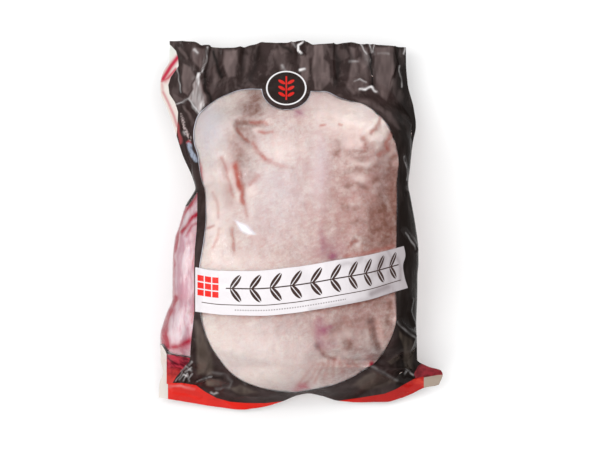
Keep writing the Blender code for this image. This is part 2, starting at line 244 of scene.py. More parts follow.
# Painted shade along the dark creases and painted highlights along the bright ones: half width, strength,
# then the line.
CREASE_SHADES = (
    (2, 0.9, 213, 52, 217, 64, 221, 76), (3, 0.5, 243, 48, 242, 70), (3, 0.5, 259, 48, 255, 66, 250, 80),
    (1.6, 0.7, 281, 44, 291, 52), (3, 0.7, 334, 46, 338, 62, 336, 84), (2.6, 0.6, 345, 44, 352, 58),
    (1.1, 1, 370.5, 54, 371.5, 84), (2.2, 0.8, 397, 46, 400, 64, 404, 88),
    (1.8, 0.9, 204, 72, 206, 88, 211, 102), (1.6, 0.5, 208, 52, 207, 66, 204, 78),
    (1.2, 0.7, 178, 70, 181, 92), (1.8, 0.6, 184, 124, 189, 142, 197, 162),
    (1.8, 0.6, 205, 330, 216, 352), (1.2, 0.8, 196, 381, 211, 376, 222, 378),
    (2.4, 0.8, 404, 376, 416, 379), (1.8, 0.8, 398, 320, 416, 333),
)
CREASE_HIGHLIGHTS = (
    (0.9, 1.8, 303, 42, 298, 45, 297.5, 50, 301, 53), (1.2, 1.4, 300, 70, 304, 69),
    (1, 2, 359.5, 89.2, 366, 88.6, 371.5, 86.6, 376.5, 91.5), (0.7, 0.45, 354, 81.5, 359, 79.5, 366, 82),
    (1, 0.25, 350, 61.5, 358, 61), (0.6, 0.55, 360, 44, 367, 54), (0.6, 0.6, 369, 44, 372, 53),
    (0.5, 0.4, 374, 43, 373, 52), (1.2, 0.18, 378, 54, 388, 53), (0.8, 0.6, 208, 47, 206, 62, 202, 72),
    (1.5, 0.75, 195, 50, 197.5, 52.5), (0.7, 0.5, 177, 105, 183, 102, 188, 99, 194, 106, 200, 113),
    (1.2, 0.7, 184, 132, 185.5, 135), (0.6, 0.4, 177, 67, 181, 92), (1.2, 0.35, 282, 66, 286, 74),
    (0.8, 0.5, 292, 42, 295, 48), (0.9, 0.9, 211, 393, 214, 394.5, 217, 393),
    (0.8, 0.9, 180, 379, 183, 374.5, 188, 377), (0.8, 0.9, 185, 371.5, 191, 367),
    (0.7, 0.7, 189, 379, 192, 374), (0.6, 0.6, 184, 381, 187, 373, 190, 381),
    (0.6, 0.5, 181, 371, 186, 366, 192, 371), (0.5, 0.6, 176, 381, 182, 372),
    (0.6, 0.6, 188, 365, 192, 362), (0.6, 0.35, 196, 382, 204, 378.5, 212, 377),
    (1.2, 0.22, 169, 386.5, 182, 386, 194, 389), (0.6, 0.35, 404, 373.5, 408.5, 370.5, 414, 375),
    (0.8, 0.2, 397, 322, 406, 331, 415, 337), (0.5, 0.3, 404, 157, 407, 170, 407, 180),
    (0.5, 0.3, 409, 193, 413, 207, 416, 221), (0.5, 0.3, 406, 233, 411, 240, 415.5, 249),
    (0.7, 0.4, 399, 66, 401, 78, 402, 87), (1.3, 0.12, 371, 366, 384, 373, 397, 380),
    (1.2, 0.08, 204, 378, 212, 372, 224, 374, 232, 381, 228, 388, 216, 389),
    (1, 0.14, 228, 366, 236, 374, 246, 384), (1, 0.14, 206, 334, 212, 348, 221, 362),
    (0.6, 0.6, 168, 353.5, 178, 354, 190, 357), (0.7, 0.7, 163, 344, 167, 347, 171, 351),
)

# A red stain, a painted pale highlight and a painted bluish sheen on crumpled film at the left, where
# it's drawn in.
WET_RED = (
    (175.5, 125, 177.6, 122, 180, 131, 182.4, 141.5, 180.4, 143, 177.8, 135),
    (185, 143.5, 188, 140, 190.5, 144, 187.5, 145),
)
PALE_GREY = (
    (180, 113, 182.5, 116, 187, 127, 191, 139, 188.5, 141.5, 185, 133, 181.5, 122),
)
BLUISH = (
    (185.5, 144.5, 189.5, 143.5, 194, 151, 198.2, 161, 196, 162, 190.5, 154.5),
)

# ---- The print, at places in the photograph ----
WINDOW_OUTLINE = (
    260, 89.5, 250, 89.3, 239, 90.6, 226.5, 95, 216, 100, 205, 108.6, 200, 113.4, 196.6, 119.8, 194, 132,
    194.8, 144, 198.2, 155, 199.8, 170, 202.2, 182, 205, 192, 206, 212, 205.3, 230, 202.5, 250,
    199.5, 270, 198.8, 292, 200.4, 313, 204.2, 329.8, 210, 345, 218.6, 358.8, 229, 371.5, 241, 380.6,
    256, 386.7, 274.5, 391, 295, 392.2, 315, 388.8, 332, 385.5, 348.5, 379.3, 360, 373, 372, 365,
    380, 357.5, 387, 346, 393, 333, 396.2, 320, 396.5, 300, 396, 275, 396.3, 250, 397, 228, 397, 208,
    397.2, 183, 399, 164, 397, 148.5, 392, 132, 384.4, 120.6, 374, 110.4, 362.5, 103.5, 349, 100.6,
    338.5, 97.5, 327, 92, 315, 91.6, 285, 89.5)
SIDE_OUTLINE = (
    197.3, 191.5, 192.8, 198, 187.5, 206, 140, 211, 140, 344, 163, 344, 166, 350, 170, 354, 180, 356,
    190, 357.5, 191, 342, 193, 325, 194.3, 311, 194.3, 290, 194.2, 268, 194.8, 249, 196.6, 230,
    197.2, 212)
CRIMSON_AREAS = (
    (166.6, 354, 170, 354.5, 180, 356.5, 190, 358, 189, 362, 182, 370, 176, 377, 172, 384, 166.6, 384),
    (414, 374, 418, 366, 424, 362, 450, 362, 450, 374.5, 438, 375, 424, 377.5, 416, 379),
)
RED_AREAS = (
    (168, 383, 182, 383, 196, 385.2, 205, 391.7, 216.5, 398, 230, 401.8, 245, 403, 265, 403.2, 281, 401.5,
     290, 400, 290, 430, 168, 430),
    (332, 430, 332, 402.6, 340, 400.6, 360, 397.8, 384.5, 393.8, 396, 389.2, 406, 383.4, 415, 378.5,
     423.8, 376.5, 423.8, 430),
)
CREAM_AREAS = (
    (140, 382.2, 168, 382.6, 168, 430, 140, 430),
    (140, 344, 161.5, 344.5, 165, 350, 167, 355, 167, 384, 140, 384),
    (423.8, 374, 460, 368, 460, 430, 423.8, 430),
    (140, 38, 166.5, 41.8, 171.5, 46, 176, 51, 178, 58, 178.6, 66, 170.8, 77, 168.2, 85, 169.4, 94,
     175, 102.5, 178, 112, 177.6, 122, 177, 130, 176.5, 137, 140, 137),
)
# Red streaks over the cream film at the header's side.
CREAM_STREAKS = (
    (2.6, 1.1, 178, 57, 171, 66, 163, 79), (1.8, 0.9, 162, 81, 168, 78, 176, 69),
    (3, 0.7, 165, 80, 169, 76), (1.5, 0.6, 163, 92, 168, 102, 174, 116, 177, 126),
    (1.5, 0.4, 162, 84, 163, 92),
)
# Stretches of x or y over which a tone of the print sets in.
# Painted shade on the film's right side, which faces away from the lamps.
SHADED_RIGHT_SIDE = (388, 402)
# Streaks of painted sheen grow stronger up into the header.
SHEEN_STREAKED_HEADER = (110, 80)
WARMER_FACETS = (300, 340)
# Painted shade on the right tab.
SHADED_RIGHT_TAB = (410, 420)
COOLER_CREAM = (76, 50)
RED_CORNER_Y, RED_CORNER_X = (364, 376), (184, 176)
DARKER_CRIMSON = (405, 418)
DARKER_RED = (325, 385)
# Painted shade greying the band towards its right end.
SHADED_BAND = (320, 400)
NARROWER_RIM_Y, NARROWER_RIM_X = (300, 350), (330, 380)     # the window's pale rim

BADGE_CENTRE = (286.3, 88.0)
BADGE_SURROUND = (25.0, 21.8)
BADGE_RADII = (20.3, 17.2)
# Two places of a tone are a soft edge: where it's 0, then where it's full.
FIELD_EDGE = (-0.25, 0.25)      # distance inside a field of the print
BADGE_RING = (1.01, 0.985)      # white ring, dark disc and sprig are in shares of the radii
BADGE_DISC = (0.935, 0.91)
SPRIG_STEP = 0.36               # from one pair of leaves to the next
SPRIG_FOOT = 0.52               # how far below the middle they begin
SPRIG_HEIGHT = (0.56, 0.54)
STEM_HEIGHT = (0.7, 0.68)
STEM_WIDTH = (0.045, 0.03)
# Leaves: cosine and sine of the slant, place of the middle, half length, half width.
SPRIG_LEAF = (0.82, 0.57, 0.27, 0.2, 0.085)
SPRIG_LEAF_EDGE = (1.1, 0.9)    # in shares of the leaf
GARLAND_LEAF = (0.62, 0.78, 8.2, 8.4, 3.2)
GARLAND_LEAF_EDGE = (1.1, 0.92)

BAND_START = 195.2
BAND_WIDTH = 44.0               # of the print on it, in millimetres
BAND_TOP = ((194, 267), (217, 270.5), (250, 271), (290, 267.5), (315, 264), (334, 260.5),
            (365, 255.6), (387, 250.5), (404, 246))
BAND_BOTTOM = ((194, 311.4), (225, 315), (262, 315.8), (290, 313.5), (315, 309.8), (340, 305.6),
               (370, 299.6), (394, 292), (409, 287.6))
BAND_END = ((246, 403.8), (255, 405.4), (266, 403), (277, 404.6), (288, 408))
# The pattern's place along the band, for each x: it crowds where the band bends away.
BAND_STRETCH = ((194, 0), (208, 15.5), (222, 31), (236, 46), (300, 110), (340, 151), (355, 169),
                (370, 190), (385, 214), (410, 256))
# Painted shade where folds cross the band: soft lines.
BAND_FOLD_SHADES = (
    (4.5, 0.42, 383, 258, 380, 266, 377, 271), (1.6, 0.3, 386, 250, 391, 257, 391, 268),
    (1.8, 0.4, 398, 258, 401, 268, 400, 280), (2.2, 0.3, 388, 272, 390, 280, 393, 290),
    (2.8, 0.3, 341, 264, 352, 264, 362, 259), (4, 0.6, 372, 294, 379, 290, 388, 287),
    (2.6, 0.25, 310, 310, 340, 305, 372, 298, 394, 291), (2.5, 0.2, 366, 262, 372, 272, 371, 284),
    (6, 0.1, 300, 270, 312, 290, 318, 308), (2.5, 0.1, 198, 270, 199, 312),
)
# The band's pattern, in its own millimetres: along it, and up from its lower edge.
GARLAND_SPAN = (34.7, 35.3, 237, 236.4)     # its beginning, then its end
GARLAND_START = 35.0
GARLAND_STEP = 20.2
GARLAND_ROOT = 5.4              # where a step's pair of leaves grows out of the stem
GARLAND_HEIGHT = 26.5
GARLAND_VEIN = (0.25, 0.55)     # distance from a leaf's vein
GARLAND_STEM = (0.75, 0.5)      # distance from the stem's middle
RULE_SPAN = (8, 9, 241, 240)
RULE_HEIGHT = 10.2
RULE_STROKE = (0.55, 0.3)
DOTS_SPAN = (44, 44.6, 158, 157.4)
DOTS_HEIGHT = 5.2
DOTS_STEP = 2.6
DOT_SIZE = ((0.36, 0.28), (0.75, 0.45))     # along, as a share of the step, and up
TILES_START = (3.2, 16.0)
TILE_STEP = (8.2, 7.2)
TILE_SIZE = ((0.44, 0.41), (0.43, 0.4))     # half of a tile, as a share of the step
TILE_FIELD = ((0, 0.2, 24.8, 24.5), (0, 0.2, 21.8, 21.5))

# ---- Colours and marks of the skin, at places in the photograph ----
# Soft lines: half width, strength, then the line. Soft ovals: x, y, half lengths, strength.
# Flushed lines and patches: pinkish-brown skin, and painted shade, mostly down the right side.
FLUSH_AND_SHADE_LINES = (
    (4, 0.35, 332, 178, 334, 200, 339, 232), (4, 0.3, 346, 200, 350, 215, 349, 234),
    (5, 0.25, 306, 160, 303, 178, 297, 190), (6, 0.3, 360, 168, 372, 172, 384, 168),
    (3.5, 0.35, 221, 160, 225, 172, 228, 186), (5, 0.6, 227, 186, 229, 205),
    (4.5, 0.22, 324, 196, 324, 262), (2.2, 0.5, 322.5, 345, 329, 351, 335, 353),
    (1.8, 0.3, 374, 325, 388, 325.5), (3, 0.35, 297, 376, 303, 384),
)
FLUSH_AND_SHADE_PATCHES = (
    (354, 206, 36, 46, 0.6), (386, 180, 12, 26, 0.6), (384, 212, 16, 40, 1), (366, 318, 34, 22, 0.65),
    (340, 330, 26, 10, 0.3), (336, 212, 14, 40, 0.12), (320, 330, 12, 40, 0.25), (262, 236, 8, 22, 0.2),
    (300, 215, 30, 40, 0.22), (236, 148, 12, 16, 0.45), (300, 300, 60, 60, 0.1), (345, 254, 30, 8, 0.5),
)
# Fine folds that fan out over the neck end, evenly from the first to the last line.
FAN_COUNT = 8
FIRST_FAN_FOLD = (1.9, 1, 313, 366, 297, 387)
LAST_FAN_FOLD = (1.9, 1, 350, 359, 360, 369)
# Brown lines and patches: brown skin, and painted shade in its grooves, its recesses and down its right
# side.
BROWN_LINES = (
    (2, 0.75, 237, 122.5, 236, 125, 238, 131, 243, 137, 249, 142),
    (3.9, 1, 240, 122.8, 246, 122.6, 253, 123), (2.8, 0.9, 253, 123, 260, 123),
    (4, 0.38, 241, 127, 246, 133, 250, 139), (1.8, 0.4, 249, 126, 251, 132, 253, 137),
    (1.7, 0.6, 236.5, 168, 239.5, 180, 243, 196), (1.8, 0.45, 241, 172, 243, 186, 244, 202),
    (2.4, 0.32, 232, 230, 232, 240, 233, 250), (2.4, 0.55, 381, 117, 376.5, 129, 370.5, 132.5),
    (2.6, 0.45, 391, 132.5, 387, 142, 387, 150, 378, 155.5),
    (2.2, 0.6, 363, 138, 367.5, 144, 364, 150.5, 355, 152), (2.4, 0.45, 337, 142, 339, 149, 334, 156),
    (2.6, 0.35, 349, 154, 358, 159, 367, 160), (3, 0.55, 345, 172, 356, 169, 368, 172, 379, 165),
    (2.4, 0.6, 373, 181, 381, 179.5, 390, 173), (2.6, 0.5, 347, 186, 358, 184, 368, 189),
    (2.8, 0.45, 344, 207, 354, 210, 363, 206), (2.6, 0.45, 352, 224, 360, 219, 367, 222),
    (1.8, 0.35, 356, 241, 348, 248), (2.6, 0.7, 396, 156, 391, 163, 390, 170),
    (5, 0.6, 394, 168, 395, 195, 395, 224), (3, 0.8, 381.5, 195, 383, 206, 381, 217),
    (2.4, 0.8, 372, 329, 373, 336, 376, 344, 380.6, 352.5), (2.6, 0.9, 390, 302, 388, 324),
    (4.5, 0.35, 366, 203, 371, 212, 372, 230),
)
BROWN_PATCHES = (
    (254, 101, 8, 9, 0.7), (257, 93, 8, 7, 0.55), (246, 110, 7, 5.5, 1.1), (257, 110, 7, 7, 0.6),
    (391, 205, 9, 46, 0.75), (250, 117, 9, 3, 0.15), (236, 143, 10, 10, 0.3), (246, 154, 9, 8, 0.2),
    (249, 170, 8, 13, 0.28), (239, 160, 4.5, 9, 0.5), (383, 234, 13, 14, 1.2), (374, 243, 13, 6, 0.7),
    (381, 214, 12, 28, 0.45), (392, 222, 5, 20, 0.2), (348.5, 344, 4.5, 4.5, 0.9),
    (339, 327, 9, 3.5, 0.4), (352, 321, 14, 4, 0.25), (376, 303, 24, 6, 0.45), (370, 325, 30, 30, 0.2),
    (382, 220, 14, 24, 0.45), (384, 330, 7, 12, 0.25), (338, 150, 5, 6, 0.15),
)
RUST_LINES = (
    (3.5, 0.9, 235, 166, 237.8, 176, 241, 188), (2.5, 0.85, 241, 186, 242.5, 194, 244, 204),
    (2.2, 0.35, 243, 200, 244.5, 208, 246, 215),
    (1.5, 0.4, 221.7, 158, 226.7, 171, 230.5, 184, 233, 196), (1.5, 0.35, 213, 193, 217, 202, 219, 218),
    (1.6, 0.35, 231.5, 230, 232.5, 240, 233.5, 251), (2.2, 0.55, 253, 143.5, 258, 152, 265, 159),
    (2.4, 0.32, 265, 159, 274, 163.6, 283, 165.2), (2.2, 0.15, 283, 165, 291, 167),
    (2.4, 0.3, 257, 176, 254, 181, 249, 184), (1.8, 0.4, 381, 117, 376.5, 129, 370.5, 132.5),
    (2, 0.45, 391, 132.5, 387, 142, 387, 150, 378, 155.5), (1.8, 0.3, 364, 138, 367.5, 144, 364, 150),
    (1.8, 0.3, 356, 241, 348, 248), (1.8, 0.6, 250, 122, 258, 122, 266.5, 123.5),
    (1.8, 0.55, 259, 131, 265, 132.5, 272, 132), (2.5, 0.4, 346, 257, 370, 252, 392, 247),
    (1.4, 0.55, 208, 227, 214, 225), (1.6, 0.35, 220, 229, 218, 240, 213, 248),
    (1.2, 0.6, 321, 125, 326, 124.5), (2, 0.4, 318.7, 347.5, 323.7, 353.7, 330, 358, 335, 359.4),
    (1.4, 0.35, 237, 124, 238, 131, 243, 137, 249, 142), (1.2, 0.7, 338.5, 124.5, 342, 125),
)
MAUVE_PATCHES = (
    (332, 257, 4, 3.5, 0.85), (330, 250, 14, 9, 0.35), (299, 113.5, 6, 4, 0.7), (318, 99, 10, 9, 0.14),
    (324.5, 331, 4.5, 3.6, 0.7), (330, 326.5, 3, 2.2, 0.6), (319, 324, 5, 6, 0.5),
    (319, 337, 4.5, 9, 0.45), (322, 344, 5, 5, 0.2), (322, 240, 3, 14, 0.35), (321, 165, 8, 36, 0.16),
    (330, 345, 8, 4, 0.3), (225, 214, 4, 8, 0.08),
)
CRIMSON_PATCHES = (
    (370.8, 364.3, 2.8, 2.4, 1), (369, 357, 5, 5, 0.25), (302, 386, 7, 4, 0.5), (304, 389, 8, 3, 1),
    (296, 391, 5, 3, 0.6), (181, 346, 10, 4, 0.55), (176, 353, 14, 4, 0.4), (194, 240, 3, 12, 0.4),
)
CRIMSON_LINES = (
    (1.6, 0.6, 199.5, 160, 200.2, 170, 202, 181), (3.4, 1.2, 198, 191, 192, 199, 187, 206),
    (2, 1.1, 198, 213, 193, 218, 187, 225, 182, 231), (1.4, 0.6, 197, 222, 191, 228, 186, 236),
    (1.7, 1.7, 187, 207, 181, 219, 177.5, 231, 175, 246, 173, 262, 173, 276),
    (1.4, 0.8, 174, 280, 174, 292, 174, 300),
    (3.6, 1.9, 174.5, 298, 170.5, 306, 166, 316, 163.5, 327, 163, 336, 166, 346),
    (3.8, 0.8, 192, 338, 187, 343, 179, 347, 169, 348),
    (1.1, 0.5, 195, 246, 194, 262, 194, 300, 193, 322),
    (1.6, 2.2, 165.5, 319, 164, 328, 164.5, 337, 167, 345), (2.6, 0.6, 419, 225, 419, 350),
    (3.5, 0.7, 186, 126, 186, 150, 196, 186),
)
# Pale patches and lines: paler skin, painted light where the skin turns from the lamps, and painted
# highlights on its ridges.
PALE_PATCHES = (
    (352, 118, 32, 20, 0.9), (320, 102, 16, 8, 0.45), (382, 126, 9, 12, 0.5), (212, 202, 12, 34, 0.45),
    (222, 364, 12, 14, 0.4), (364, 344, 8, 16, 0.15), (384, 345, 6, 12, 0.1), (216, 228, 14, 28, 0.4),
    (235, 262, 44, 9, 0.3), (251, 190, 6, 6, 0.4), (251, 208, 5, 18, 0.3), (255, 129.5, 4, 3, 0.5),
    (260, 128, 7, 2, 0.2), (358, 245, 3, 3, 0.5), (318, 165, 7, 34, 0.25), (347, 333, 9, 4, 0.45),
    (338, 341, 4, 6, 0.4), (345, 352, 7, 3, 0.3), (382, 338, 5, 8, 0.1), (280, 148, 17, 15, 0.45),
    (372, 140, 5, 6, 0.35), (384, 158, 5, 4, 0.2), (350, 145, 8, 6, 0.35), (362, 164, 9, 4, 0.3),
    (358, 178, 8, 4, 0.25), (270, 354, 40, 24, 0.5), (270, 376, 50, 9, 0.4), (386, 318, 3, 8, 0.15),
)
PALE_LINES = (
    (2.4, 0.6, 386, 198, 390, 210, 395, 223), (2.4, 0.4, 376, 119, 374, 126, 369, 130),
    (2.6, 0.35, 384, 134, 382, 143, 377, 149), (3, 0.2, 357, 137, 361, 142, 358, 147),
    (3, 0.2, 347, 158, 355, 164, 366, 165, 374, 160), (2.4, 0.3, 392, 150, 387, 158, 386, 168),
    (2.4, 0.35, 360, 240, 357, 246), (3.5, 0.3, 340, 358, 358, 359, 369, 358),
    (2.6, 0.4, 366, 331, 368, 341, 373, 351), (1.8, 0.5, 232, 166, 236, 184, 239, 200),
)
# Cool patches: bluer skin, and the painted sheen of the clear film.
COOL_AND_SHEEN_PATCHES = (
    (208, 122, 14, 24, 0.45), (218, 132, 14, 26, 0.25), (320, 165, 8, 40, 0.3), (206, 150, 8, 20, 0.2),
    (278, 186, 32, 52, 0.35), (270, 350, 40, 20, 0.15), (362, 109, 18, 9, 0.4), (209, 200, 6, 24, 0.25),
)
# Painted highlights: glints of the clear film, drawn on the skin under it.
WHITE_GLINTS = (
    (232.2, 219.7, 239, 222, 246, 225, 250.6, 227.8, 256.5, 234.8, 249, 234.4, 242.5, 230.8,
     237.5, 225.6), (186, 260.5, 193.8, 259, 193.8, 263.6),
)
SMOOTHER_PATCHES = ((215, 130, 24, 34, 1), (225, 345, 34, 34, 1))
FAINTER_BACK = 0.3              # strength of all the marks on the underside
# Stretches of x or y over which the skin changes.
ROUGHER_SIDE = (310, 370)
LUMPIER_SIDE = (318, 380)
MOTTLED_BREAST, MOTTLED_SIDE = (215, 290), (310, 360)
RIPPLED_NECK_X, RIPPLED_NECK_Y = (240, 300), (345, 385)
WING_EDGE, WING_TOP = (200.5, 197.5), (186, 192)
STEEP_LEFT_WALL = (260, 200)
# Painted shade in the skin's valleys sets in over this stretch.
SHADED_VALLEYS = (197, 215)
# Painted light on the lumps' tops, in the upper part.
LIT_LUMP_TOPS = (300, 200)
# Painted shadow under the band darkens over this stretch.
DARKER_BAND_SHADOW = (200, 400)
PRESSED_BY_BAND = (196, 400)    # all between the band's ends


# ---- The pack's form ----
def smooth_curve(points):
    """Return a function through (place, value) points that never overshoots between them."""
    place, value = (np.array(column, float) for column in zip(*points))
    step = np.diff(place)
    rise = np.diff(value) / step
    same_way = rise[:-1] * rise[1:] > 0.0
    mean = 2.0 * rise[:-1] * rise[1:] / np.where(same_way, rise[:-1] + rise[1:], 1.0)
    slope = np.concatenate(([rise[0]], np.where(same_way, mean, 0.0), [rise[-1]]))

    def curve(at):
        at = np.clip(at, place[0], place[-1])
        i = np.clip(np.searchsorted(place, at) - 1, 0, len(step) - 1)
        t = (at - place[i]) / step[i]
        bend = step[i] * t * (1.0 - t)
        ease = t * t * (3.0 - 2.0 * t)
        line = value[i] + (value[i + 1] - value[i]) * ease
        return line + bend * ((1.0 - t) * slope[i] - t * slope[i + 1])

    return curve


def smooth_step(low, high, at):
    """Rise from 0 at low to 1 at high."""
    t = np.clip((at - low) / (high - low), 0.0, 1.0)
    return t * t * (3.0 - 2.0 * t)


def runs(line):
    """Return both ends of each straight run of a line."""
    points = list(zip(line[::2], line[1::2]))
    return list(zip(points[:-1], points[1:]))


def distance_to_run(x, y, run):
    """Return the distance from each (x, y) to a straight run."""
    (ax, ay), (bx, by) = run
    run_x, run_y = bx - ax, by - ay
    along = ((x - ax) * run_x + (y - ay) * run_y) / (run_x ** 2 + run_y ** 2)
    along = np.clip(along, 0.0, 1.0)
    return np.hypot(x - ax - along * run_x, y - ay - along * run_y)


def distance_to_line(x, y, line):
    """Return the distance from each (x, y) to a line."""
    return np.minimum.reduce([distance_to_run(x, y, run) for run in runs(line)])


def patches(x, y, spots):
    """Sum of soft oval spots."""
    total = np.zeros(np.shape(x))
    for middle_x, middle_y, length_x, length_y, strength in spots:
        total += strength * np.exp(-((x - middle_x) / length_x) ** 2 - ((y - middle_y) / length_y) ** 2)
    return total


def soft_lines(x, y, lines):
    """Strength of each of some soft lines, in turn."""
    for half_width, strength, *line in lines:
        yield strength * np.exp(-(distance_to_line(x, y, line) / half_width) ** 2)


def strokes(x, y, lines):
    """Strongest of some soft lines, and 0 away from them."""
    return np.maximum.reduce([np.zeros(np.shape(x)), *soft_lines(x, y, lines)])


def flap_wave(x, y):
    """How far the gathers and waves lift both faces of the header and seal flaps."""
    lift = np.zeros(np.shape(x))
    in_header = smooth_step(HEADER_START, HEADER_LEVEL, y)
    for edge_x, root_x, half_width, rise in HEADER_GATHERS:
        crest = root_x + (edge_x - root_x) * in_header
        lift += rise * in_header * np.exp(-((x - crest) / half_width) ** 2)
    in_seal = smooth_step(SEAL_START, SEAL_LEVEL, y)
    for wave_x, half_width, rise in SEAL_WAVES:
        lift += rise * in_seal * np.exp(-((x - wave_x) / half_width) ** 2)
    return lift


def level_at(v):
    """Return the place along the pack, for v from 0 at the seal to 1 at the header."""
    return SEAL_LEVEL + (HEADER_LEVEL - SEAL_LEVEL) * v


def side_edges(level):
    """Return x of both side edges."""
    return smooth_curve(LEFT_EDGE)(level), smooth_curve(RIGHT_EDGE)(level)


def pack_plan(u, v):
    """Return x and y, for u from -1 on the left edge to 1 on the right one and v along the pack."""
    share = (u + 1.0) / 2.0
    level = level_at(v)
    left, right = side_edges(level)
    x = left + (right - left) * share
    seal_x = LEFT_EDGE[0][1] + (RIGHT_EDGE[0][1] - LEFT_EDGE[0][1]) * share
    header_x = LEFT_EDGE[-1][1] + (RIGHT_EDGE[-1][1] - LEFT_EDGE[-1][1]) * share
    from_seal = np.clip((level - SEAL_LEVEL) / LOBE_REACH, 0.0, 1.0)
    from_header = np.clip((HEADER_LEVEL - level) / HEADER_REACH, 0.0, 1.0)
    y = level + (smooth_curve(SEAL_EDGE)(seal_x) - SEAL_LEVEL) * (1.0 - from_seal) ** 2
    return x, y + (smooth_curve(HEADER_EDGE)(header_x) - HEADER_LEVEL) * (1.0 - from_header) ** 2


def pack_surface(u, v):
    """Return x, y and the heights of the upper and lower face, for u across and v along."""
    x, y = pack_plan(u, v)
    level = level_at(v)
    left, right = side_edges(level)
    body_left = left + smooth_curve(LEFT_FILM)(level)
    body_right = right - smooth_curve(RIGHT_FILM)(level)
    middle = (body_left + body_right) / 2.0
    across = np.clip((x - middle) / ((body_right - body_left) / 2.0), -1.0, 1.0)
    leaning = across - KEEL_OFFSET * (1.0 - across ** 2)
    film_width = np.where(x < middle, body_left - left, right - body_right)
    slant = smooth_step(0.0, SLANT_WIDTH, film_width)
    fullness = np.where(leaning < 0.0, LEFT_FULLNESS, RIGHT_FULLNESS)
    wall = ROUND_WALL + (SLANTED_WALL - ROUND_WALL) * slant
    dome = (1.0 - np.abs(leaning) ** fullness) ** wall
    back = (1.0 - np.abs(across) ** BACK_FULLNESS) ** (0.5 + 0.5 * slant)

    side_line = smooth_curve(SIDE_HEIGHT)(level)
    side = side_line + flap_wave(x, level)
    to_ends = np.sqrt(np.clip(np.sin(np.pi * v), 0.0, 1.0))
    film = FLAP_THICKNESS / 2.0 * np.sqrt(1.0 - u ** RIM_POWER) * to_ends
    rise = smooth_curve(RIDGE_HEIGHT)(level) - side_line
    drop = side_line - smooth_curve(BELLY_HEIGHT)(level)
    drop = drop + UNDERSIDE_SINK * smooth_step(0.0, SINK_START, drop)
    relief = sum(soft_lines(x, y, FOLDS)) + patches(x, y, SWELLINGS)
    top = side + film + rise * dome + relief * smooth_step(0.0, DOME_BLEND, dome)
    return x, y, top, np.maximum(side - film - drop * back, 0.0)


def centring():
    """Return how far the pack's middle lies from the origin of its tables, in millimetres."""
    share = np.linspace(0.0, 1.0, CENTRING_STEPS)
    x, y = pack_plan(2.0 * share[None, :] - 1.0, share[:, None])
    return (x.min() + x.max()) / 2.0, (y.min() + y.max()) / 2.0


CENTRE_X, CENTRE_Y = centring()


def stack(x, y, z):
    """Points in metres, in the frame, from the tables' millimetres."""
    return np.stack((x - CENTRE_X, y - CENTRE_Y, z), axis=-1) * MM


# ---- Camera ----
def camera_axes():
    """Return the camera's place, its right, up and view directions."""
    aim = stack(*AIMED_AT)
    ahead = np.array((0.0, math.cos(CAMERA_ELEVATION), -math.sin(CAMERA_ELEVATION)))
    up = np.array((0.0, math.sin(CAMERA_ELEVATION), math.cos(CAMERA_ELEVATION)))
    return aim - ahead * CAMERA_DISTANCE, np.array((1.0, 0.0, 0.0)), up, ahead


def in_photo(points):
    """Return where points, in metres, lie in the photograph, in pixels."""
    place, right, up, ahead = camera_axes()
    seen = np.asarray(points) - place
    scale = PIXELS_PER_METRE * CAMERA_DISTANCE / (seen @ ahead)
    return IMAGE_SIZE[0] / 2 + scale * (seen @ right), IMAGE_SIZE[1] / 2 - scale * (seen @ up)


def add_object(name, data):
    """Put a mesh, camera or light into the scene."""
    thing = bpy.data.objects.new(name, data)
    bpy.context.scene.collection.objects.link(thing)
    return thing


def add_camera():
    """Make the scene's camera, at the photograph's viewing angle."""
    place, right, up, ahead = camera_axes()
    data = bpy.data.cameras.new("camera")
    data.sensor_width = SENSOR_WIDTH
    data.lens = SENSOR_WIDTH / IMAGE_SIZE[0] * PIXELS_PER_METRE * CAMERA_DISTANCE
    camera = add_object("camera", data)
    turn = Matrix((right, up, -ahead)).transposed()
    camera.matrix_world = Matrix.Translation(place) @ turn.to_4x4()
    bpy.context.scene.camera = camera


# ---- Small tools for shapes ----
LATTICE_SIZE = 64       # after so many cells the noise repeats
CELL_BEND = 0.35        # how far crumples bend off their grid, as a share of a cell
CELL_BEND_SIZE = 2.3    # size of those bends, in cells


def lattice_cells(x, y, seed):
    """Return random heights at the corners of each place's cell, and its place in the cell."""
    heights = np.random.default_rng(seed).uniform(-1.0, 1.0, (LATTICE_SIZE, LATTICE_SIZE))
    column, row = np.floor(x).astype(int), np.floor(y).astype(int)
    corners = [heights[(column + i) % LATTICE_SIZE, (row + j) % LATTICE_SIZE]
               for i, j in ((0, 0), (1, 0), (0, 1), (1, 1))]
    return corners, x - column, y - row


def value_noise(x, y, size, seed):
    """Smooth random heights between -1 and 1, with features of the given size."""
    (a, b, c, d), tx, ty = lattice_cells(x / size, y / size, seed)
    tx, ty = tx * tx * (3.0 - 2.0 * tx), ty * ty * (3.0 - 2.0 * ty)
    return (a * (1 - tx) + b * tx) * (1 - ty) + (c * (1 - tx) + d * tx) * ty


def crumples(x, y, size_x, size_y, rise, seed):
    """Heights of a surface crumpled into flat triangles."""
    gx = x / size_x + CELL_BEND * value_noise(x, y, CELL_BEND_SIZE * size_x, seed + 1)
    gy = y / size_y + CELL_BEND * value_noise(x, y, CELL_BEND_SIZE * size_y, seed + 2)
    (near, right, above, far), tx, ty = lattice_cells(gx, gy, seed)
    corner = np.where(tx > ty, right, above)
    first, second = np.maximum(tx, ty), np.minimum(tx, ty)
    return rise * (near + (corner - near) * first + (far - corner) * second)


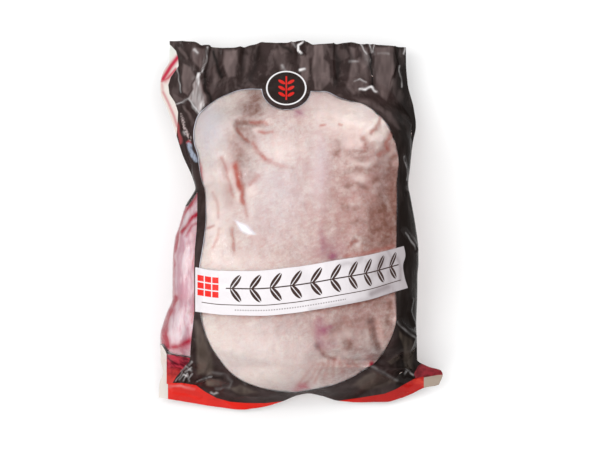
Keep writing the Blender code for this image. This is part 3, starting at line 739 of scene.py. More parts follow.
def signed_distance(x, y, outline):
    """Distance to a closed outline, positive inside it."""
    ring = [*outline, *outline[:2]]
    inside = np.zeros(np.shape(x), bool)
    for (ax, ay), (bx, by) in runs(ring):
        if ay != by:
            crosses = (ay > y) != (by > y)
            inside ^= crosses & (x < (bx - ax) * (y - ay) / (by - ay) + ax)
    distance = distance_to_line(x, y, ring)
    return np.where(inside, distance, -distance)


def depth_in_any(x, y, outlines):
    """Distance to the deepest of some closed outlines, positive inside one."""
    return np.maximum.reduce([signed_distance(x, y, outline) for outline in outlines])


def rounded(outline, steps=4):
    """Return a closed outline with smooth stretches through its points."""
    points = np.reshape(outline, (-1, 1, 2))
    a, b, c, d = (np.roll(points, shift, 0) for shift in (1, 0, -1, -2))
    t = (np.arange(steps) / steps)[None, :, None]
    curve = 0.5 * (2 * b + (c - a) * t + (2 * a - 5 * b + 4 * c - d) * t ** 2
                   + (3 * b - a - 3 * c + d) * t ** 3)
    return curve.ravel().tolist()


def wandering(x, y, reach, size, seed):
    """Shift places a little, so that what is drawn at them gets a wandering outline."""
    return x + reach * value_noise(x, y, size, seed), y + reach * value_noise(x, y, size, seed + 1)


def even_and_sine(count):
    """Shares from -1 to 1, closer together at both ends."""
    t = np.linspace(-1.0, 1.0, count)
    return (1.0 - CROWDING) * t + CROWDING * np.sin(np.pi / 2.0 * t)


def grid_faces(rows, columns):
    """Return the triangles of a grid of points, wound to face up.

    Each triangle has a point inside the rim, so that two grids can share their rims.
    """
    row, column = np.meshgrid(np.arange(rows - 1), np.arange(columns - 1), indexing="ij")
    a = (row * columns + column).ravel()
    b, d = a + 1, a + columns
    c = d + 1
    pairs = np.stack((a, b, c, a, c, d), 1)
    for corner in (columns - 2, (rows - 2) * (columns - 1)):
        pairs[corner] = a[corner], b[corner], d[corner], b[corner], c[corner], d[corner]
    return pairs.reshape(-1, 3)


def grid_normals(points):
    """Return the upward unit normals of a grid of points."""
    normal = np.cross(np.gradient(points, axis=1), np.gradient(points, axis=0))
    return normal / np.maximum(np.linalg.norm(normal, axis=2, keepdims=True), 1e-12)


def split_sheet(points, faces, data, field):
    """Cut a sheet where field is 0. Return (points, faces, data) inside, and the same outside.

    Each triangle that the cut crosses is turned to have its lone corner, a, come first. The cut
    runs from p to q and leaves the tip apq on one side and the rest pbcq on the other.
    """
    field = np.where(np.abs(field) < NEAREST_CUT, NEAREST_CUT, field)
    sign = field > 0.0
    count = sign[faces].sum(1)
    mixed = faces[(count == 1) | (count == 2)]
    lone_value = (sign[mixed].sum(1) == 1)[:, None]
    lone = np.argmax(sign[mixed] == lone_value, axis=1)
    mixed = np.take_along_axis(mixed, (np.arange(3) + lone[:, None]) % 3, 1)
    edges = np.sort(np.concatenate((mixed[:, [0, 1]], mixed[:, [0, 2]])), axis=1)
    (start, stop), index = (found.T for found in np.unique(edges, axis=0, return_inverse=True))
    p, q = (len(points) + index.ravel()).reshape(2, -1)
    share = (field[start] / (field[start] - field[stop]))[:, None]
    points, data = (np.concatenate((values, values[start] * (1 - share) + values[stop] * share))
                    for values in (points, data))
    a, b, c = mixed.T
    tip = np.stack((a, p, q), 1)
    rest = np.concatenate((np.stack((p, b, c), 1), np.stack((p, c, q), 1)))
    tip_inside = sign[a]
    rest_inside = np.concatenate((~tip_inside, ~tip_inside))
    inside = np.concatenate((faces[count == 3], tip[tip_inside], rest[rest_inside]))
    outside = np.concatenate((faces[count == 0], tip[~tip_inside], rest[~rest_inside]))
    return [compact(points, part, data) for part in (inside, outside)]


def compact(points, faces, data):
    """Keep only the points that the faces use."""
    used, new = np.unique(faces, return_inverse=True)
    return points[used], new.reshape(faces.shape), data[used]


def add_mesh(name, points, faces, material, attributes=()):
    """Make a mesh object. Attributes are pairs of a name and three values for each point."""
    mesh = bpy.data.meshes.new(name)
    mesh.vertices.add(len(points))
    mesh.vertices.foreach_set("co", np.asarray(points, np.float32).ravel())
    mesh.loops.add(3 * len(faces))
    mesh.loops.foreach_set("vertex_index", np.asarray(faces, np.int32).ravel())
    mesh.polygons.add(len(faces))
    mesh.polygons.foreach_set("loop_start", np.arange(0, 3 * len(faces), 3, dtype=np.int32))
    mesh.update(calc_edges=True)
    for label, values in attributes:
        layer = mesh.attributes.new(label, "FLOAT_VECTOR", "POINT")
        layer.data.foreach_set("vector", np.asarray(values, np.float32).ravel())
    mesh.shade_smooth()
    mesh.materials.append(material)
    return add_object(name, mesh)


# ---- Small tools for materials ----
def srgb(red, green, blue):
    """Turn 0 to 255 screen values into a linear colour."""
    return tuple((c / 255.0 / 12.92) if c <= 10 else ((c / 255.0 + 0.055) / 1.055) ** 2.4
                 for c in (red, green, blue)) + (1.0,)


class Value:
    """What a node puts out. Sums, differences, products and quotients of it are new nodes."""

    def __init__(self, nodes, socket):
        self.nodes = nodes
        self.socket = socket

    def __add__(self, other):
        return self.nodes.math("ADD", self, other)

    def __sub__(self, other):
        return self.nodes.math("SUBTRACT", self, other)

    def __rsub__(self, other):
        return self.nodes.math("SUBTRACT", other, self)

    def __mul__(self, other):
        return self.nodes.math("MULTIPLY", self, other)

    def __truediv__(self, other):
        return self.nodes.math("DIVIDE", self, other)

    def __abs__(self):
        return self.nodes.math("ABSOLUTE", self)


class Nodes:
    """Short words for building one material's node tree."""

    def __init__(self, name):
        self.material = bpy.data.materials.new(name)
        self.material.use_nodes = True
        self.tree = self.material.node_tree
        self.tree.nodes.clear()

    def new(self, kind, inputs, output=0, **settings):
        """Make a node, each of its inputs a value or a constant, and return one output."""
        node = self.tree.nodes.new("ShaderNode" + kind)
        for key, setting in settings.items():
            setattr(node, key, setting)
        for key, given in inputs.items():
            if isinstance(given, Value):
                self.tree.links.new(given.socket, node.inputs[key])
            else:
                node.inputs[key].default_value = given
        return Value(self, node.outputs[output])

    def math(self, operation, *values):
        return self.new("Math", dict(enumerate(values)), operation=operation)

    def mix(self, share, first, second):
        """Mix two colours, each a value or its 0 to 255 screen values."""
        first, second = (c if isinstance(c, Value) else srgb(*c) for c in (first, second))
        return self.new("Mix", {0: share, 6: first, 7: second}, 2, data_type="RGBA")

    def ramp(self, value, low, high):
        """Rise from 0 at low to 1 at high."""
        return self.new("MapRange", {0: value, 1: low, 2: high}, interpolation_type="SMOOTHSTEP")

    def between(self, value, low_0, low_1, high_0, high_1):
        """1 between two places, setting in at the one and ending at the other."""
        return self.ramp(value, low_0, low_1) * self.ramp(value, high_0, high_1)

    def repeat(self, value, period):
        """Begin at 0 again after each period."""
        return self.math("FRACT", value / period) * period

    def off_middle(self, value, period):
        """Distance from the middle of each period, as a share of it."""
        return abs(self.math("FRACT", value / period) - 0.5)

    def attribute(self, name):
        """Return the three values of a mesh's vector attribute."""
        vector = self.new("Attribute", {}, "Vector", attribute_name=name)
        split = self.new("SeparateXYZ", {0: vector}).socket.node
        return [Value(self, socket) for socket in split.outputs]

    def place(self, scale=(1.0, 1.0, 1.0), turn=0.0, kind="POINT"):
        """The object's own coordinates, scaled and turned by some degrees about its z axis."""
        turned = (0.0, 0.0, math.radians(turn))
        here = self.new("TexCoord", {}, "Object")
        return self.new("Mapping", {0: here, 2: turned, 3: scale}, vector_type=kind)

    def slanting(self, stretch, turn):
        """Coordinates that draw a pattern out along a direction, in degrees from +X."""
        return self.place((stretch, 1.0, 1.0), turn, "TEXTURE")

    def noise(self, scale, detail=3.0, rough=0.55, vector=None):
        inputs = {"Vector": vector or self.place(), "Scale": scale, "Detail": detail, "Roughness": rough}
        return self.new("TexNoise", inputs)

    def clouds(self, low, high, *noise):
        """Soft patches, where a noise rises from low to high."""
        return self.ramp(self.noise(*noise), low, high)

    def bump(self, height, distance, strength):
        return self.new("Bump", {"Height": height, "Distance": distance, "Strength": strength})

    def finish(self, shader):
        output = self.tree.nodes.new("ShaderNodeOutputMaterial")
        self.tree.links.new(shader.socket, output.inputs[0])
        return self.material


# ---- Materials ----
def skin_material():
    """Raw duck skin: cream, with pink wandering seams, flushed, brown, rusty and bruised parts, painted
    shade in its flushed and brown parts, painted light in its pale parts, and painted sheen and glints in
    its bluish parts.
    """
    n = Nodes("raw_skin")
    flush_and_shade, brown, rust = n.attribute("warm_tones")
    mauve, crimson, pale = n.attribute("cold_tones")
    mottled, in_side, cool_and_sheen = n.attribute("mottling_and_sheen")
    middle = n.noise(120, 4, 0.6)
    uneven = n.ramp(middle, 0.3, 0.7) * 0.5 + 0.75

    def seams(scale, width, turn):
        """Wandering lines where a stretched noise passes its middle."""
        stretched = n.place((1.0, 0.8, 0.5), turn)
        return n.ramp(abs(n.noise(scale, 2, 0.5, stretched) - 0.5), width, 0)

    seam = n.math("MAXIMUM", seams(62, 0.06, 32), seams(130, 0.08, -25) * 0.6)
    pores = n.new("TexVoronoi", {"Vector": n.place((1.0, 0.75, 0.3), 32), "Scale": 230.0}, "Distance")
    speckle = n.clouds(0.4, 0.64, 620, 2, 0.6)
    hatch = n.clouds(0.5, 0.68, 300, 2, 0.55, n.slanting(2.4, 24))
    rough = n.clouds(0.4, 0.64, 240, 4, 0.65) * n.ramp(mottled, 0.4, 1)
    streaks = n.clouds(0.38, 0.66, 150, 4, 0.6, n.place((1.0, 0.22, 0.4), -6))
    colour = n.mix(n.clouds(0.35, 0.68, 38), (224, 216, 210), (217, 206, 203))
    wing = n.mix(streaks, (230, 214, 218), (204, 158, 170))
    for strength, tone in (
            # Flushed skin and painted shade.
            (flush_and_shade * uneven, (188, 153, 146)),
            (n.ramp(middle, 0.42, 0.68) * mottled * 0.6, (203, 172, 168)),
            (seam * mottled * 0.4, (202, 162, 158)),
            (n.ramp(pores, 0.34, 0.1) * mottled * 0.35, (190, 146, 144)),
            (speckle * (mottled * 0.22 + 0.1), (192, 154, 152)),
            (hatch * (mottled * 0.45 + 0.12), (198, 158, 154)),
            (rough * 0.5, (182, 142, 134)),
            # Bluer skin and painted sheen, then the painted glints' bright cores.
            (cool_and_sheen, (228, 225, 231)),
            (n.ramp(cool_and_sheen, 1.1, 1.6), (252, 250, 253)),
            (in_side, wing),
            # Paler skin and painted light.
            (pale * uneven, (249, 237, 232)),
            # Brown skin and painted shade.
            (brown * uneven, (140, 97, 84)),
            (rust * uneven, (186, 94, 80)),
            (mauve * uneven, (168, 104, 126)),
            (crimson * uneven, (182, 22, 58))):
        colour = n.mix(strength, colour, tone)

    height = seam * -0.35 + (n.noise(420, 3, 0.6) * 0.2 + middle)
    return n.finish(n.new("BsdfPrincipled", {
        "Base Color": colour, "Roughness": middle * 0.2 + 0.4, "Specular IOR Level": 0.3,
        "Subsurface Weight": 0.2, "Subsurface Radius": (1.0, 0.4, 0.25), "Subsurface Scale": 0.004,
        "Normal": n.bump(height, 0.0006, 0.6)}))


def clear_film_material():
    """Thin clear film: see-through, with glossy reflections and the faintest haze."""
    n = Nodes("clear_film")
    bent = n.bump(n.noise(55, 2) + n.noise(260) * 0.03, 0.0016, 0.6)
    through = n.new("BsdfTransparent", {"Color": (0.98, 0.975, 0.975, 1.0)})
    gloss = n.new("BsdfGlossy", {"Color": (1.0, 1.0, 1.0, 1.0), "Roughness": 0.16, "Normal": bent})
    facing = n.new("Fresnel", {"IOR": 1.3, "Normal": bent})
    return n.finish(n.new("MixShader", {0: facing, 1: through, 2: gloss}))


def leaf(along, up, cosine, sine, middle, half_length, half_width):
    """Return a leaf's share, 1 inside its rim and 0 outside, and the distance from its vein."""
    lengthwise = (along * cosine + up * sine - middle) / half_length
    from_vein = up * cosine - along * sine
    widthwise = from_vein / half_width
    return lengthwise * lengthwise + widthwise * widthwise, abs(from_vein)


def with_badge(n, colour, px, py):
    """Draw the badge: a thin white ring round a dark disc, a red sprig of three pairs of leaves."""
    across = (px - BADGE_CENTRE[0]) / BADGE_RADII[0]
    up = (BADGE_CENTRE[1] - py) / BADGE_RADII[1]
    from_middle = n.math("SQRT", across * across + up * up)
    colour = n.mix(n.ramp(from_middle, *BADGE_RING), colour, (232, 230, 232))
    colour = n.mix(n.ramp(from_middle, *BADGE_DISC), colour, (40, 30, 28))
    side, from_level = abs(across), abs(up)
    rim, _ = leaf(side, n.repeat(up + SPRIG_FOOT, SPRIG_STEP), *SPRIG_LEAF)
    leaves = n.ramp(from_level, *SPRIG_HEIGHT) * n.ramp(rim, *SPRIG_LEAF_EDGE)
    stem = n.ramp(side, *STEM_WIDTH) * n.ramp(from_level, *STEM_HEIGHT)
    return n.mix(n.math("MAXIMUM", leaves, stem), colour, (212, 40, 34))


def with_band_pattern(n, colour, along, up):
    """Draw on the band: a red field of small tiles, a leafy garland, a rule and a dotted line."""
    step = n.repeat(along - GARLAND_START, GARLAND_STEP) - GARLAND_ROOT
    from_stem = abs(up - GARLAND_HEIGHT)
    rim, from_vein = leaf(step, from_stem, *GARLAND_LEAF)
    leaves = n.ramp(rim, *GARLAND_LEAF_EDGE) * n.ramp(from_vein, *GARLAND_VEIN)
    leaves_and_stem = n.math("MAXIMUM", leaves, n.ramp(from_stem, *GARLAND_STEM))
    garland = leaves_and_stem * n.between(along, *GARLAND_SPAN)
    rule = n.ramp(abs(up - RULE_HEIGHT), *RULE_STROKE) * n.between(along, *RULE_SPAN)
    dots = n.ramp(n.off_middle(along, DOTS_STEP), *DOT_SIZE[0])
    dots = dots * n.ramp(abs(up - DOTS_HEIGHT), *DOT_SIZE[1]) * n.between(along, *DOTS_SPAN)

    def tiled(value, axis):
        """Rows of tiles along one axis."""
        value = value - TILES_START[axis]
        rows = n.ramp(n.off_middle(value, TILE_STEP[axis]), *TILE_SIZE[axis])
        return rows * n.between(value, *TILE_FIELD[axis])

    for share, tone in ((garland, (60, 44, 40)), (rule, (70, 54, 50)), (dots * 0.6, (96, 84, 84)),
                        (tiled(along, 0) * tiled(up, 1), (222, 40, 34))):
        colour = n.mix(share, colour, tone)
    return colour


def ink_print(n, px, py, facet_sheen, fold_shade, stains_and_sheens):
    """Brown-black ink, with painted shade down its right side, streaks of painted sheen, painted sheen on
    facets, painted shade in folds, a red stain, and a painted pale highlight and bluish sheen.
    """
    wet_red, pale_grey, bluish = stains_and_sheens
    # Vertical streaks of painted sheen.
    streaks = n.clouds(0.46, 0.72, 110, 2, 0.6, n.slanting(4, 86))
    colour = n.mix(n.clouds(0.3, 0.7, 60), (43, 32, 30), (57, 44, 43))
    for share, tone in (
            # Painted shade down the right side.
            (n.ramp(px, *SHADED_RIGHT_SIDE), (27, 21, 19)),
            (streaks * (n.ramp(py, *SHEEN_STREAKED_HEADER) * 0.2 + 0.06), (128, 112, 110)),
            # Painted sheen on the facets.
            (facet_sheen * 0.8, n.mix(n.ramp(py, *WARMER_FACETS), (136, 118, 116), (132, 118, 106))),
            # Painted shade in the folds.
            (fold_shade, (22, 17, 15)),
            (wet_red * n.clouds(0.2, 0.45, 260), (142, 62, 64)),
            (pale_grey * n.clouds(0.35, 0.65, 320), (176, 160, 158)),
            (bluish * n.clouds(0.15, 0.6, 200), (148, 156, 172))):
        colour = n.mix(share, colour, tone)
    return colour


def cream_print(n, px, py, streak):
    """Cream ends: pinkish in places, cooler at the header's top, with red streaks and painted shade on
    the right tab.
    """
    colour = n.mix(n.ramp(px, *SHADED_RIGHT_TAB), (214, 207, 200), (160, 145, 131))
    colour = n.mix(n.clouds(0.5, 0.7, 45, 3, 0.6) * 0.3, colour, (226, 184, 178))
    colour = n.mix(n.ramp(py, *COOLER_CREAM), colour, (212, 214, 208))
    return n.mix(streak, colour, (176, 40, 66))


def crimson_print(n, px, py):
    """Blotched crimson corners: redder at the lower left, darker at the lower right."""
    in_corner = n.ramp(py, *RED_CORNER_Y) * n.ramp(px, *RED_CORNER_X)
    colour = n.mix(n.clouds(0.38, 0.62, 85, 3, 0.6), (92, 20, 34), (176, 50, 66))
    colour = n.mix(in_corner * n.clouds(0.2, 0.6, 120, 2), colour, (198, 56, 48))
    return n.mix(n.ramp(px, *DARKER_CRIMSON) * 0.6, colour, (96, 34, 34))


def red_print(n, px):
    """Red edge of the seal flap, darker to the right, with streaks of painted shade and of painted
    highlights along it.
    """
    colour = n.mix(n.ramp(px, *DARKER_RED), (216, 40, 31), (170, 30, 26))
    colour = n.mix(n.clouds(0.5, 0.7, 110, 3, 0.6, n.slanting(3.5, -8)) * 0.35, colour, (150, 24, 22))
    return n.mix(n.clouds(0.56, 0.72, 90, 3, 0.6, n.slanting(4, -12)) * 0.4, colour, (232, 84, 62))


def white_print(n, px, band_fold_shade):
    """The white band, with painted shade from its folds and painted shade greying it to the right."""
    colour = n.mix(n.ramp(px, *SHADED_BAND) * 0.75, (222, 217, 220), (156, 147, 150))
    return n.mix(band_fold_shade, colour, (112, 98, 100))


def printed_film_material():
    """Glossy printed film: the fields of the print over each other, then the badge and the band."""
    n = Nodes("printed_film")
    px, py, in_crimson = n.attribute("photo_place")
    band_x, band_y, in_band = n.attribute("band")
    in_red, in_cream, edge = n.attribute("fields")
    streak, facet_sheen, painted_highlight = n.attribute("marks")
    flatness, fold_shade, band_fold_shade = n.attribute("slope")

    def laid(field, colour, tone):
        """Lay a tone over the inside of a field."""
        return n.mix(n.ramp(field, *FIELD_EDGE), colour, tone)

    colour = ink_print(n, px, py, facet_sheen, fold_shade, n.attribute("stains_and_sheens"))
    colour = laid(in_cream, colour, cream_print(n, px, py, streak))
    colour = laid(in_crimson, colour, crimson_print(n, px, py))
    # Painted highlights over the print's fields.
    colour = n.mix(painted_highlight, laid(in_red, colour, red_print(n, px)), (226, 222, 222))
    colour = with_badge(n, laid(edge, colour, (214, 212, 222)), px, py)
    colour = laid(in_band, colour, white_print(n, px, band_fold_shade))
    colour = with_band_pattern(n, colour, band_x, band_y)

    crinkle = n.noise(75, 2, 0.5, n.place((1.6, 0.7, 1.0))) + n.noise(330, 3, 0.6) * 0.15
    return n.finish(n.new("BsdfPrincipled", {
        "Base Color": colour, "Roughness": n.noise(90) * 0.16 + 0.16,
        "Specular IOR Level": flatness * 0.38 + 0.01, "Normal": n.bump(crinkle, 0.0018, 0.5)}))


# ---- The pieces ----
def window_depth(px, py):
    """How far inside the clear window a place of the photograph lies."""
    ex = (px - BADGE_CENTRE[0]) / BADGE_SURROUND[0]
    ey = (py - BADGE_CENTRE[1]) / BADGE_SURROUND[1]
    off_badge = (np.hypot(ex, ey) - 1.0) * min(BADGE_SURROUND)
    return np.minimum(signed_distance(px, py, rounded(WINDOW_OUTLINE)), off_badge)


def band_places(px, py):
    """Return along the band, up from its lower edge, and how far inside it, in millimetres."""
    top, bottom = smooth_curve(BAND_TOP)(px), smooth_curve(BAND_BOTTOM)(px)
    end = smooth_curve(BAND_END)(py)
    inside = np.minimum.reduce((bottom - py, py - top, px - BAND_START, end - px))
    return smooth_curve(BAND_STRETCH)(px), (bottom - py) / (bottom - top) * BAND_WIDTH, inside


def tent(x, y, left_width, right_width, rise, *line):
    """Height of a straight-sided ridge along a line, with flanks of unlike widths."""
    nearest, width = np.full(np.shape(x), np.inf), np.ones(np.shape(x))
    for run in runs(line):
        (ax, ay), (bx, by) = run
        distance = distance_to_run(x, y, run)
        on_left = (bx - ax) * (y - ay) > (by - ay) * (x - ax)
        closer = distance < nearest
        nearest = np.where(closer, distance, nearest)
        width = np.where(closer, np.where(on_left, left_width, right_width), width)
    return rise * np.maximum(1.0 - nearest / width, 0.0)


def film_detail(px, py):
    """Folds, facets and ripples of the loose printed film, outwards, in millimetres."""
    loose = smooth_step(0.0, LOOSE_REACH, -window_depth(px, py))
    folds = np.maximum.reduce([tent(px, py, *measures) for measures in FILM_TENTS])
    in_header = smooth_step(*CRUMPLED_HEADER, py)
    crumpled = crumples(px, py, *HEADER_CRUMPLES) * in_header
    crumpled += crumples(px, py, *SIDE_CRUMPLES) * (1.0 - in_header)
    ripples = value_noise(px, py, 5.0, 5) * 0.12
    return np.maximum(loose * (folds + crumpled + ripples), DEEPEST_DENT)


def skin_lumps(px, py):
    """Lumps of fat under the skin, between about -1 and 1."""
    turned_x, turned_y = 0.8 * px + 0.6 * py, 0.8 * py - 0.6 * px
    return value_noise(turned_x, turned_y, 9.0, 11) + 0.5 * value_noise(px, py, 4.5, 12)


def skin_detail(px, py):
    """Grooves, lumps and tight ripples of the skin, outwards, in millimetres."""
    grooves = np.maximum(strokes(px, py, BROWN_LINES), strokes(px, py, RUST_LINES))
    lumps = skin_lumps(px, py) * (LUMP_HEIGHT[0] + LUMP_HEIGHT[1] * smooth_step(*LUMPIER_SIDE, px))
    bend, bend_size = RIPPLE_BEND
    ripples = np.sin((px + bend * value_noise(px, py, bend_size, 13)) / RIPPLE_LENGTH)
    at_neck = smooth_step(*RIPPLED_NECK_Y, py) * smooth_step(*RIPPLED_NECK_X, px)
    lumps += RIPPLE_HEIGHT * ripples * at_neck
    return np.minimum(lumps, PRESSED_FLAT) - GROOVE_DEPTH * grooves


def lit(x, y, planes):
    """Painted light on planes of the film: soft at their rims, and fading to the right across them."""
    total = np.zeros(np.shape(x))
    for soft, strength, *outline in planes:
        left, right = min(outline[::2]), max(outline[::2])
        fading = 1.2 - 0.45 * np.clip((x - left) / (right - left), 0.0, 1.0)
        total += strength * fading * smooth_step(0.0, soft, signed_distance(x, y, outline))
    return total


def print_marks(px, py, upright, window, band):
    """Return the printed film's attributes: a name and three values for each point."""
    fx, fy = wandering(px, py, 1.2, 6.0, 45)
    edge = 0.35 + 0.35 * value_noise(px, py, 30.0, 21) - np.abs(window)
    edge -= 0.5 * np.maximum(smooth_step(*NARROWER_RIM_Y, py), smooth_step(*NARROWER_RIM_X, px))
    # Painted sheen on the facets, broken by streaks.
    facet_sheen = np.clip(lit(fx, fy, LIT_FACETS), 0.0, 1.2)
    facet_sheen *= 0.85 + 0.35 * value_noise(px, 0.3 * py, 2.6, 47) + 0.3 * value_noise(px, 0.3 * py, 7.0, 51)
    # Painted highlights along the bright creases, with the painted sheens added in streaks.
    painted_highlight = strokes(*wandering(px, py, 0.9, 5.0, 41), CREASE_HIGHLIGHTS)
    painted_highlight *= 0.4 + 0.6 * smooth_step(-0.5, 0.5, value_noise(px, py, 5.0, 43))
    sheen_streaks = 0.75 + 0.5 * value_noise(px + 0.1 * py, 0.2 * py, 1.5, 49)
    painted_highlight += sheen_streaks * lit(fx, fy, SHEENS)
    # A red stain, a painted pale highlight and a painted bluish sheen.
    stains_and_sheens = [smooth_step(-0.9, 0.9, depth_in_any(fx, fy, [rounded(area) for area in areas]))
              for areas in (WET_RED, PALE_GREY, BLUISH)]
    return {
        "photo_place": (px, py, depth_in_any(px, py, CRIMSON_AREAS)),
        "band": band,
        "fields": (depth_in_any(px, py, RED_AREAS), depth_in_any(px, py, CREAM_AREAS), edge),
        "marks": (strokes(px, py, CREAM_STREAKS), facet_sheen, painted_highlight),
        # Painted shade in the film's creases and in the band's folds.
        "slope": (smooth_step(STEEP, LEVEL, upright), strokes(fx, fy, CREASE_SHADES),
                  strokes(fx, fy, BAND_FOLD_SHADES)),
        "stains_and_sheens": stains_and_sheens,
    }


def add_front_film(clear_film):
    """The shown side of the bag, cut along the print's edge into printed and clear film."""
    u, v = even_and_sine(FILM_COLUMNS)[None, :], np.linspace(0.0, 1.0, FILM_ROWS)[:, None]
    x, y, top, _ = pack_surface(u, v)
    base = stack(x, y, top)
    px, py = in_photo(base)
    detail = film_detail(px, py) * smooth_step(0.0, FILM_RIM, 1.0 - np.abs(u))
    clinging = CLINGING * smooth_step(0.0, CLINGING_REACH, window_depth(px, py))
    detail += clinging * skin_lumps(px, py)
    points = base + grid_normals(base) * detail[..., None] * MM
    points[..., 2] = np.maximum(points[..., 2], LEAST_HEIGHT * MM)
    upright = grid_normals(points)[..., 2].ravel()
    points = points.reshape(-1, 3)

    px, py = in_photo(points)
    window = window_depth(px, py)
    band = band_places(px, py)
    clear = np.maximum(np.minimum(window, -band[2]), signed_distance(px, py, SIDE_OUTLINE))
    marks = print_marks(px, py, upright, window, band)
    data = np.stack([column for columns in marks.values() for column in columns], axis=1)
    clear_part, printed_part = split_sheet(points, grid_faces(FILM_ROWS, FILM_COLUMNS), data, clear)
    attributes = zip(marks, np.split(printed_part[2], len(marks), axis=1))
    return (add_mesh("printed_film", *printed_part[:2], printed_film_material(), attributes),
            add_mesh("clear_film", *clear_part[:2], clear_film))


def add_back_film(clear_film):
    """The underside of the bag, all clear film."""
    u, v = even_and_sine(BACK_COLUMNS)[None, :], np.linspace(0.0, 1.0, BACK_ROWS)[:, None]
    x, y, _, bottom = pack_surface(u, v)
    faces = grid_faces(BACK_ROWS, BACK_COLUMNS)[:, ::-1]
    return add_mesh("back_film", stack(x, y, bottom).reshape(-1, 3), faces, clear_film)


def duck_form():
    """Return the grids of the skin's upper and lower points, which meet at their rims."""
    v = np.linspace(*SKIN_SPAN, SKIN_ROWS)[:, None]
    left, right = side_edges(level_at(v))
    start = -1.0 + 2.0 * smooth_curve(LEFT_FILM)(level_at(v)) / (right - left)
    stop = 1.0 - 2.0 * smooth_curve(RIGHT_FILM)(level_at(v)) / (right - left)
    share = (even_and_sine(SKIN_COLUMNS)[None, :] + 1.0) / 2.0
    x, y, top, bottom = pack_surface(start + (stop - start) * share, v)
    base = stack(x, y, top)
    px, py = in_photo(base)
    _, height, _ = band_places(px, py)
    from_ends = np.minimum(px - PRESSED_BY_BAND[0], PRESSED_BY_BAND[1] - px)
    under_band = smooth_step(*BAND_GAP_ENDS, from_ends)
    under_band = under_band * np.exp(-(height / BAND_GAP_REACH) ** 2)
    covered = -np.maximum(window_depth(px, py), signed_distance(px, py, SIDE_OUTLINE))
    depth = SKIN_GAP + BAND_GAP * under_band + PRINT_GAP * smooth_step(0.0, PRINT_GAP_REACH, covered)
    off_rim = smooth_step(0.0, SKIN_RIM, share) * smooth_step(0.0, SKIN_RIM, 1.0 - share)
    upper = base + grid_normals(base) * ((skin_detail(px, py) - depth) * off_rim)[..., None] * MM
    lower = stack(x, y, bottom + SKIN_GAP)
    lower[..., 2] = np.minimum(lower[..., 2], upper[..., 2] - LEAST_BODY * MM)
    meeting = stack(x, y, (top + bottom) / 2.0)
    for edge in (np.s_[0, :], np.s_[-1, :], np.s_[:, 0], np.s_[:, -1]):
        upper[edge] = lower[edge] = meeting[edge]
    return upper, lower, base


def crimson_tones(px, py, points, upright):
    """Blood under the skin: it breaks up into patches on the steep left wall."""
    crimson = np.maximum(patches(px, py, CRIMSON_PATCHES), strokes(px, py, CRIMSON_LINES))
    steep = smooth_step(0.4, 0.1, upright) * smooth_step(*STEEP_LEFT_WALL, px)
    along_wall = value_noise(points[:, 1] / MM, 2.0 * points[:, 2] / MM, 13.0, 71)
    on_wall = np.minimum(crimson, 0.52 + 0.5 * along_wall)
    return np.minimum(crimson, 1.0) * (1.0 - steep) + on_wall * steep


def skin_marks(points, upright, under_band):
    """Return the skin's attributes: a name and three values for each point."""
    px, py = wandering(*in_photo(points), 1.3, 8.0, 31)
    rougher = smooth_step(*ROUGHER_SIDE, px)
    lumps = skin_lumps(px, py)
    fans = strokes(px, py, np.linspace(FIRST_FAN_FOLD, LAST_FAN_FOLD, FAN_COUNT))

    flush_and_shade = patches(px, py, FLUSH_AND_SHADE_PATCHES) + strokes(px, py, FLUSH_AND_SHADE_LINES)
    flush_and_shade += 0.4 * fans * (0.7 + 0.5 * value_noise(px, py, 7.0, 63))
    # Painted shade in the valleys between the lumps.
    shaded_valley = smooth_step(0.6, -0.9, lumps) * smooth_step(*SHADED_VALLEYS, px)
    flush_and_shade = 1.0 - np.exp(-1.1 * (flush_and_shade + (0.15 + 0.45 * rougher) * shaded_valley))

    brown = patches(px, py, BROWN_PATCHES) + strokes(px, py, BROWN_LINES)
    # Painted shadow along the band's lower edge, darker towards the right.
    brown += (0.2 + 0.7 * smooth_step(*DARKER_BAND_SHADOW, px) ** 2) * under_band
    grain = 1.0 + 0.5 * value_noise(px, py, 2.0, 61) + 0.3 * value_noise(px, py, 5.0, 62)
    brown = 1.0 - np.exp(-1.1 * brown * grain)

    pale = patches(px, py, PALE_PATCHES) + strokes(px, py, PALE_LINES)
    # Painted light on the tops of the lumps.
    pale += (0.1 + 0.1 * rougher) * smooth_step(0.1, 1.0, lumps) * smooth_step(*LIT_LUMP_TOPS, py)
    # Painted highlights of the clear film's glints.
    in_glint = depth_in_any(px, py, WHITE_GLINTS)
    glint = smooth_step(-0.8, 0.8, in_glint) + 0.6 * smooth_step(0.5, 2.2, in_glint)
    mottled = 0.35 + 0.3 * smooth_step(*MOTTLED_BREAST, px) + 0.35 * smooth_step(*MOTTLED_SIDE, px)
    mottled *= 1.0 - 0.6 * patches(px, py, SMOOTHER_PATCHES)
    on_top = np.where(np.arange(len(points)) < SKIN_ROWS * SKIN_COLUMNS, 1.0, FAINTER_BACK)[:, None]
    # The band's painted shadow is a little rusty too.
    warm = (flush_and_shade, brown, strokes(px, py, RUST_LINES) + 0.15 * under_band + 0.22 * fans)
    cold = (patches(px, py, MAUVE_PATCHES), crimson_tones(px, py, points, upright), pale)
    more = (mottled, smooth_step(*WING_EDGE, px) * smooth_step(*WING_TOP, py),
            patches(px, py, COOL_AND_SHEEN_PATCHES) + glint)
    return (("warm_tones", np.stack(warm, axis=1) * on_top),
            ("cold_tones", np.stack(cold, axis=1) * on_top),
            ("mottling_and_sheen", np.stack(more, axis=1)))


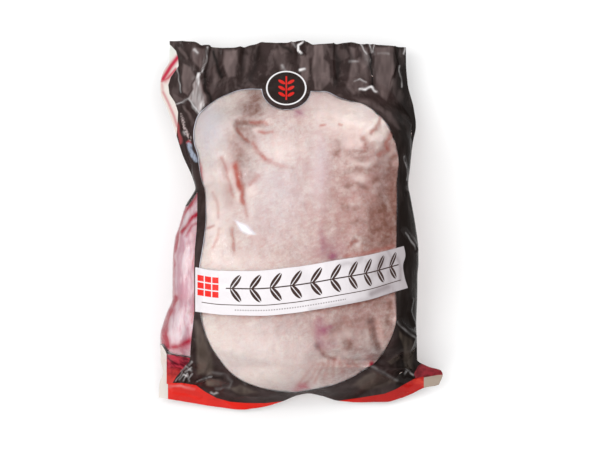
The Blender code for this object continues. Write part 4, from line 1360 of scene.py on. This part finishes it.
def add_duck():
    """The bird: one closed body just inside the film."""
    upper, lower, base = duck_form()
    inner = np.s_[1:-1, 1:-1]
    below = np.arange(SKIN_ROWS * SKIN_COLUMNS).reshape(SKIN_ROWS, SKIN_COLUMNS)
    inner_count = below[inner].size
    faces = grid_faces(SKIN_ROWS, SKIN_COLUMNS)
    below[inner] = below.size + np.arange(inner_count).reshape(below[inner].shape)
    faces = np.concatenate((faces, below.ravel()[faces[:, ::-1]]))
    points = np.concatenate((upper.reshape(-1, 3), lower[inner].reshape(-1, 3)))

    # A painted shadow, a brown line, follows the band's lower edge.
    _, height, in_band = band_places(*in_photo(base))
    under_band = np.exp(-((height + 1.2) / 2.2) ** 2) * (in_band > -8)
    under_band = np.append(under_band, np.zeros(inner_count))
    upright = np.append(grid_normals(upper)[..., 2], np.zeros(inner_count))
    return add_mesh("duck", points, faces, skin_material(), skin_marks(points, upright, under_band))


# ---- Floor and light ----
FLOOR_HALF = 4.0
FLOOR_HEIGHT = -0.0006
ROOM_LIGHT = 0.28
# Soft panels: name, place, size, power, and whether the glossy film mirrors them.
PANELS = (
    ("soft", (-0.2, 0.1, 1.7), (3.6, 3.6), 38.0, False),
    ("key", (-1.12, 0.12, 1.95), (1.2, 1.6), 9.0, False),
    ("front", (-0.95, -1.5, 1.15), (1.4, 1.0), 13.0, False),
    ("fill", (1.3, 0.9, 1.2), (1.2, 1.2), 13.0, False),
    ("strip", (-1.35, 0.25, 1.5), (0.16, 0.7), 3.0, True),
)


def add_floor():
    """A plain pale floor."""
    mesh = bpy.data.meshes.new("floor")
    corners = [(x, y, FLOOR_HEIGHT) for x, y in ((-1, -1), (1, -1), (1, 1), (-1, 1))]
    mesh.from_pydata([(x * FLOOR_HALF, y * FLOOR_HALF, z) for x, y, z in corners], [], [(0, 1, 2, 3)])
    n = Nodes("floor")
    mesh.materials.append(n.finish(n.new("BsdfPrincipled", {
        "Base Color": n.noise(3) * 0.02 + 0.86, "Roughness": 0.9, "Specular IOR Level": 0.1,
        "Emission Color": (1.0, 1.0, 1.0, 1.0), "Emission Strength": 0.06})))
    add_object("floor", mesh)


def add_lights():
    """Soft studio light: wide panels over and round the pack, a narrow strip, and a dim room."""
    for name, place, size, power, mirrored in PANELS:
        data = bpy.data.lights.new(name, "AREA")
        data.shape = "RECTANGLE"
        data.size, data.size_y = size
        data.energy = power
        light = add_object(name, data)
        light.location = place
        light.visible_glossy = mirrored
        light.rotation_euler = (-Vector(place)).to_track_quat("-Z", "Y").to_euler()
    world = bpy.data.worlds.new("room")
    world.use_nodes = True
    background = world.node_tree.nodes["Background"]
    background.inputs[0].default_value = (1.0, 1.0, 1.0, 1.0)
    background.inputs[1].default_value = ROOM_LIGHT
    bpy.context.scene.world = world


bpy.context.scene.view_settings.view_transform = "Standard"
add_camera()
clear_material = clear_film_material()
printed_film, clear_film = add_front_film(clear_material)
back_film = add_back_film(clear_material)
duck = add_duck()
for piece, slot in ((printed_film, "printed_film"), (clear_film, "clear_film"),
                    (back_film, "clear_film"), (duck, "duck_skin")):
    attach(piece, "root")
    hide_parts("duck_pack")
add_floor()
add_lights()
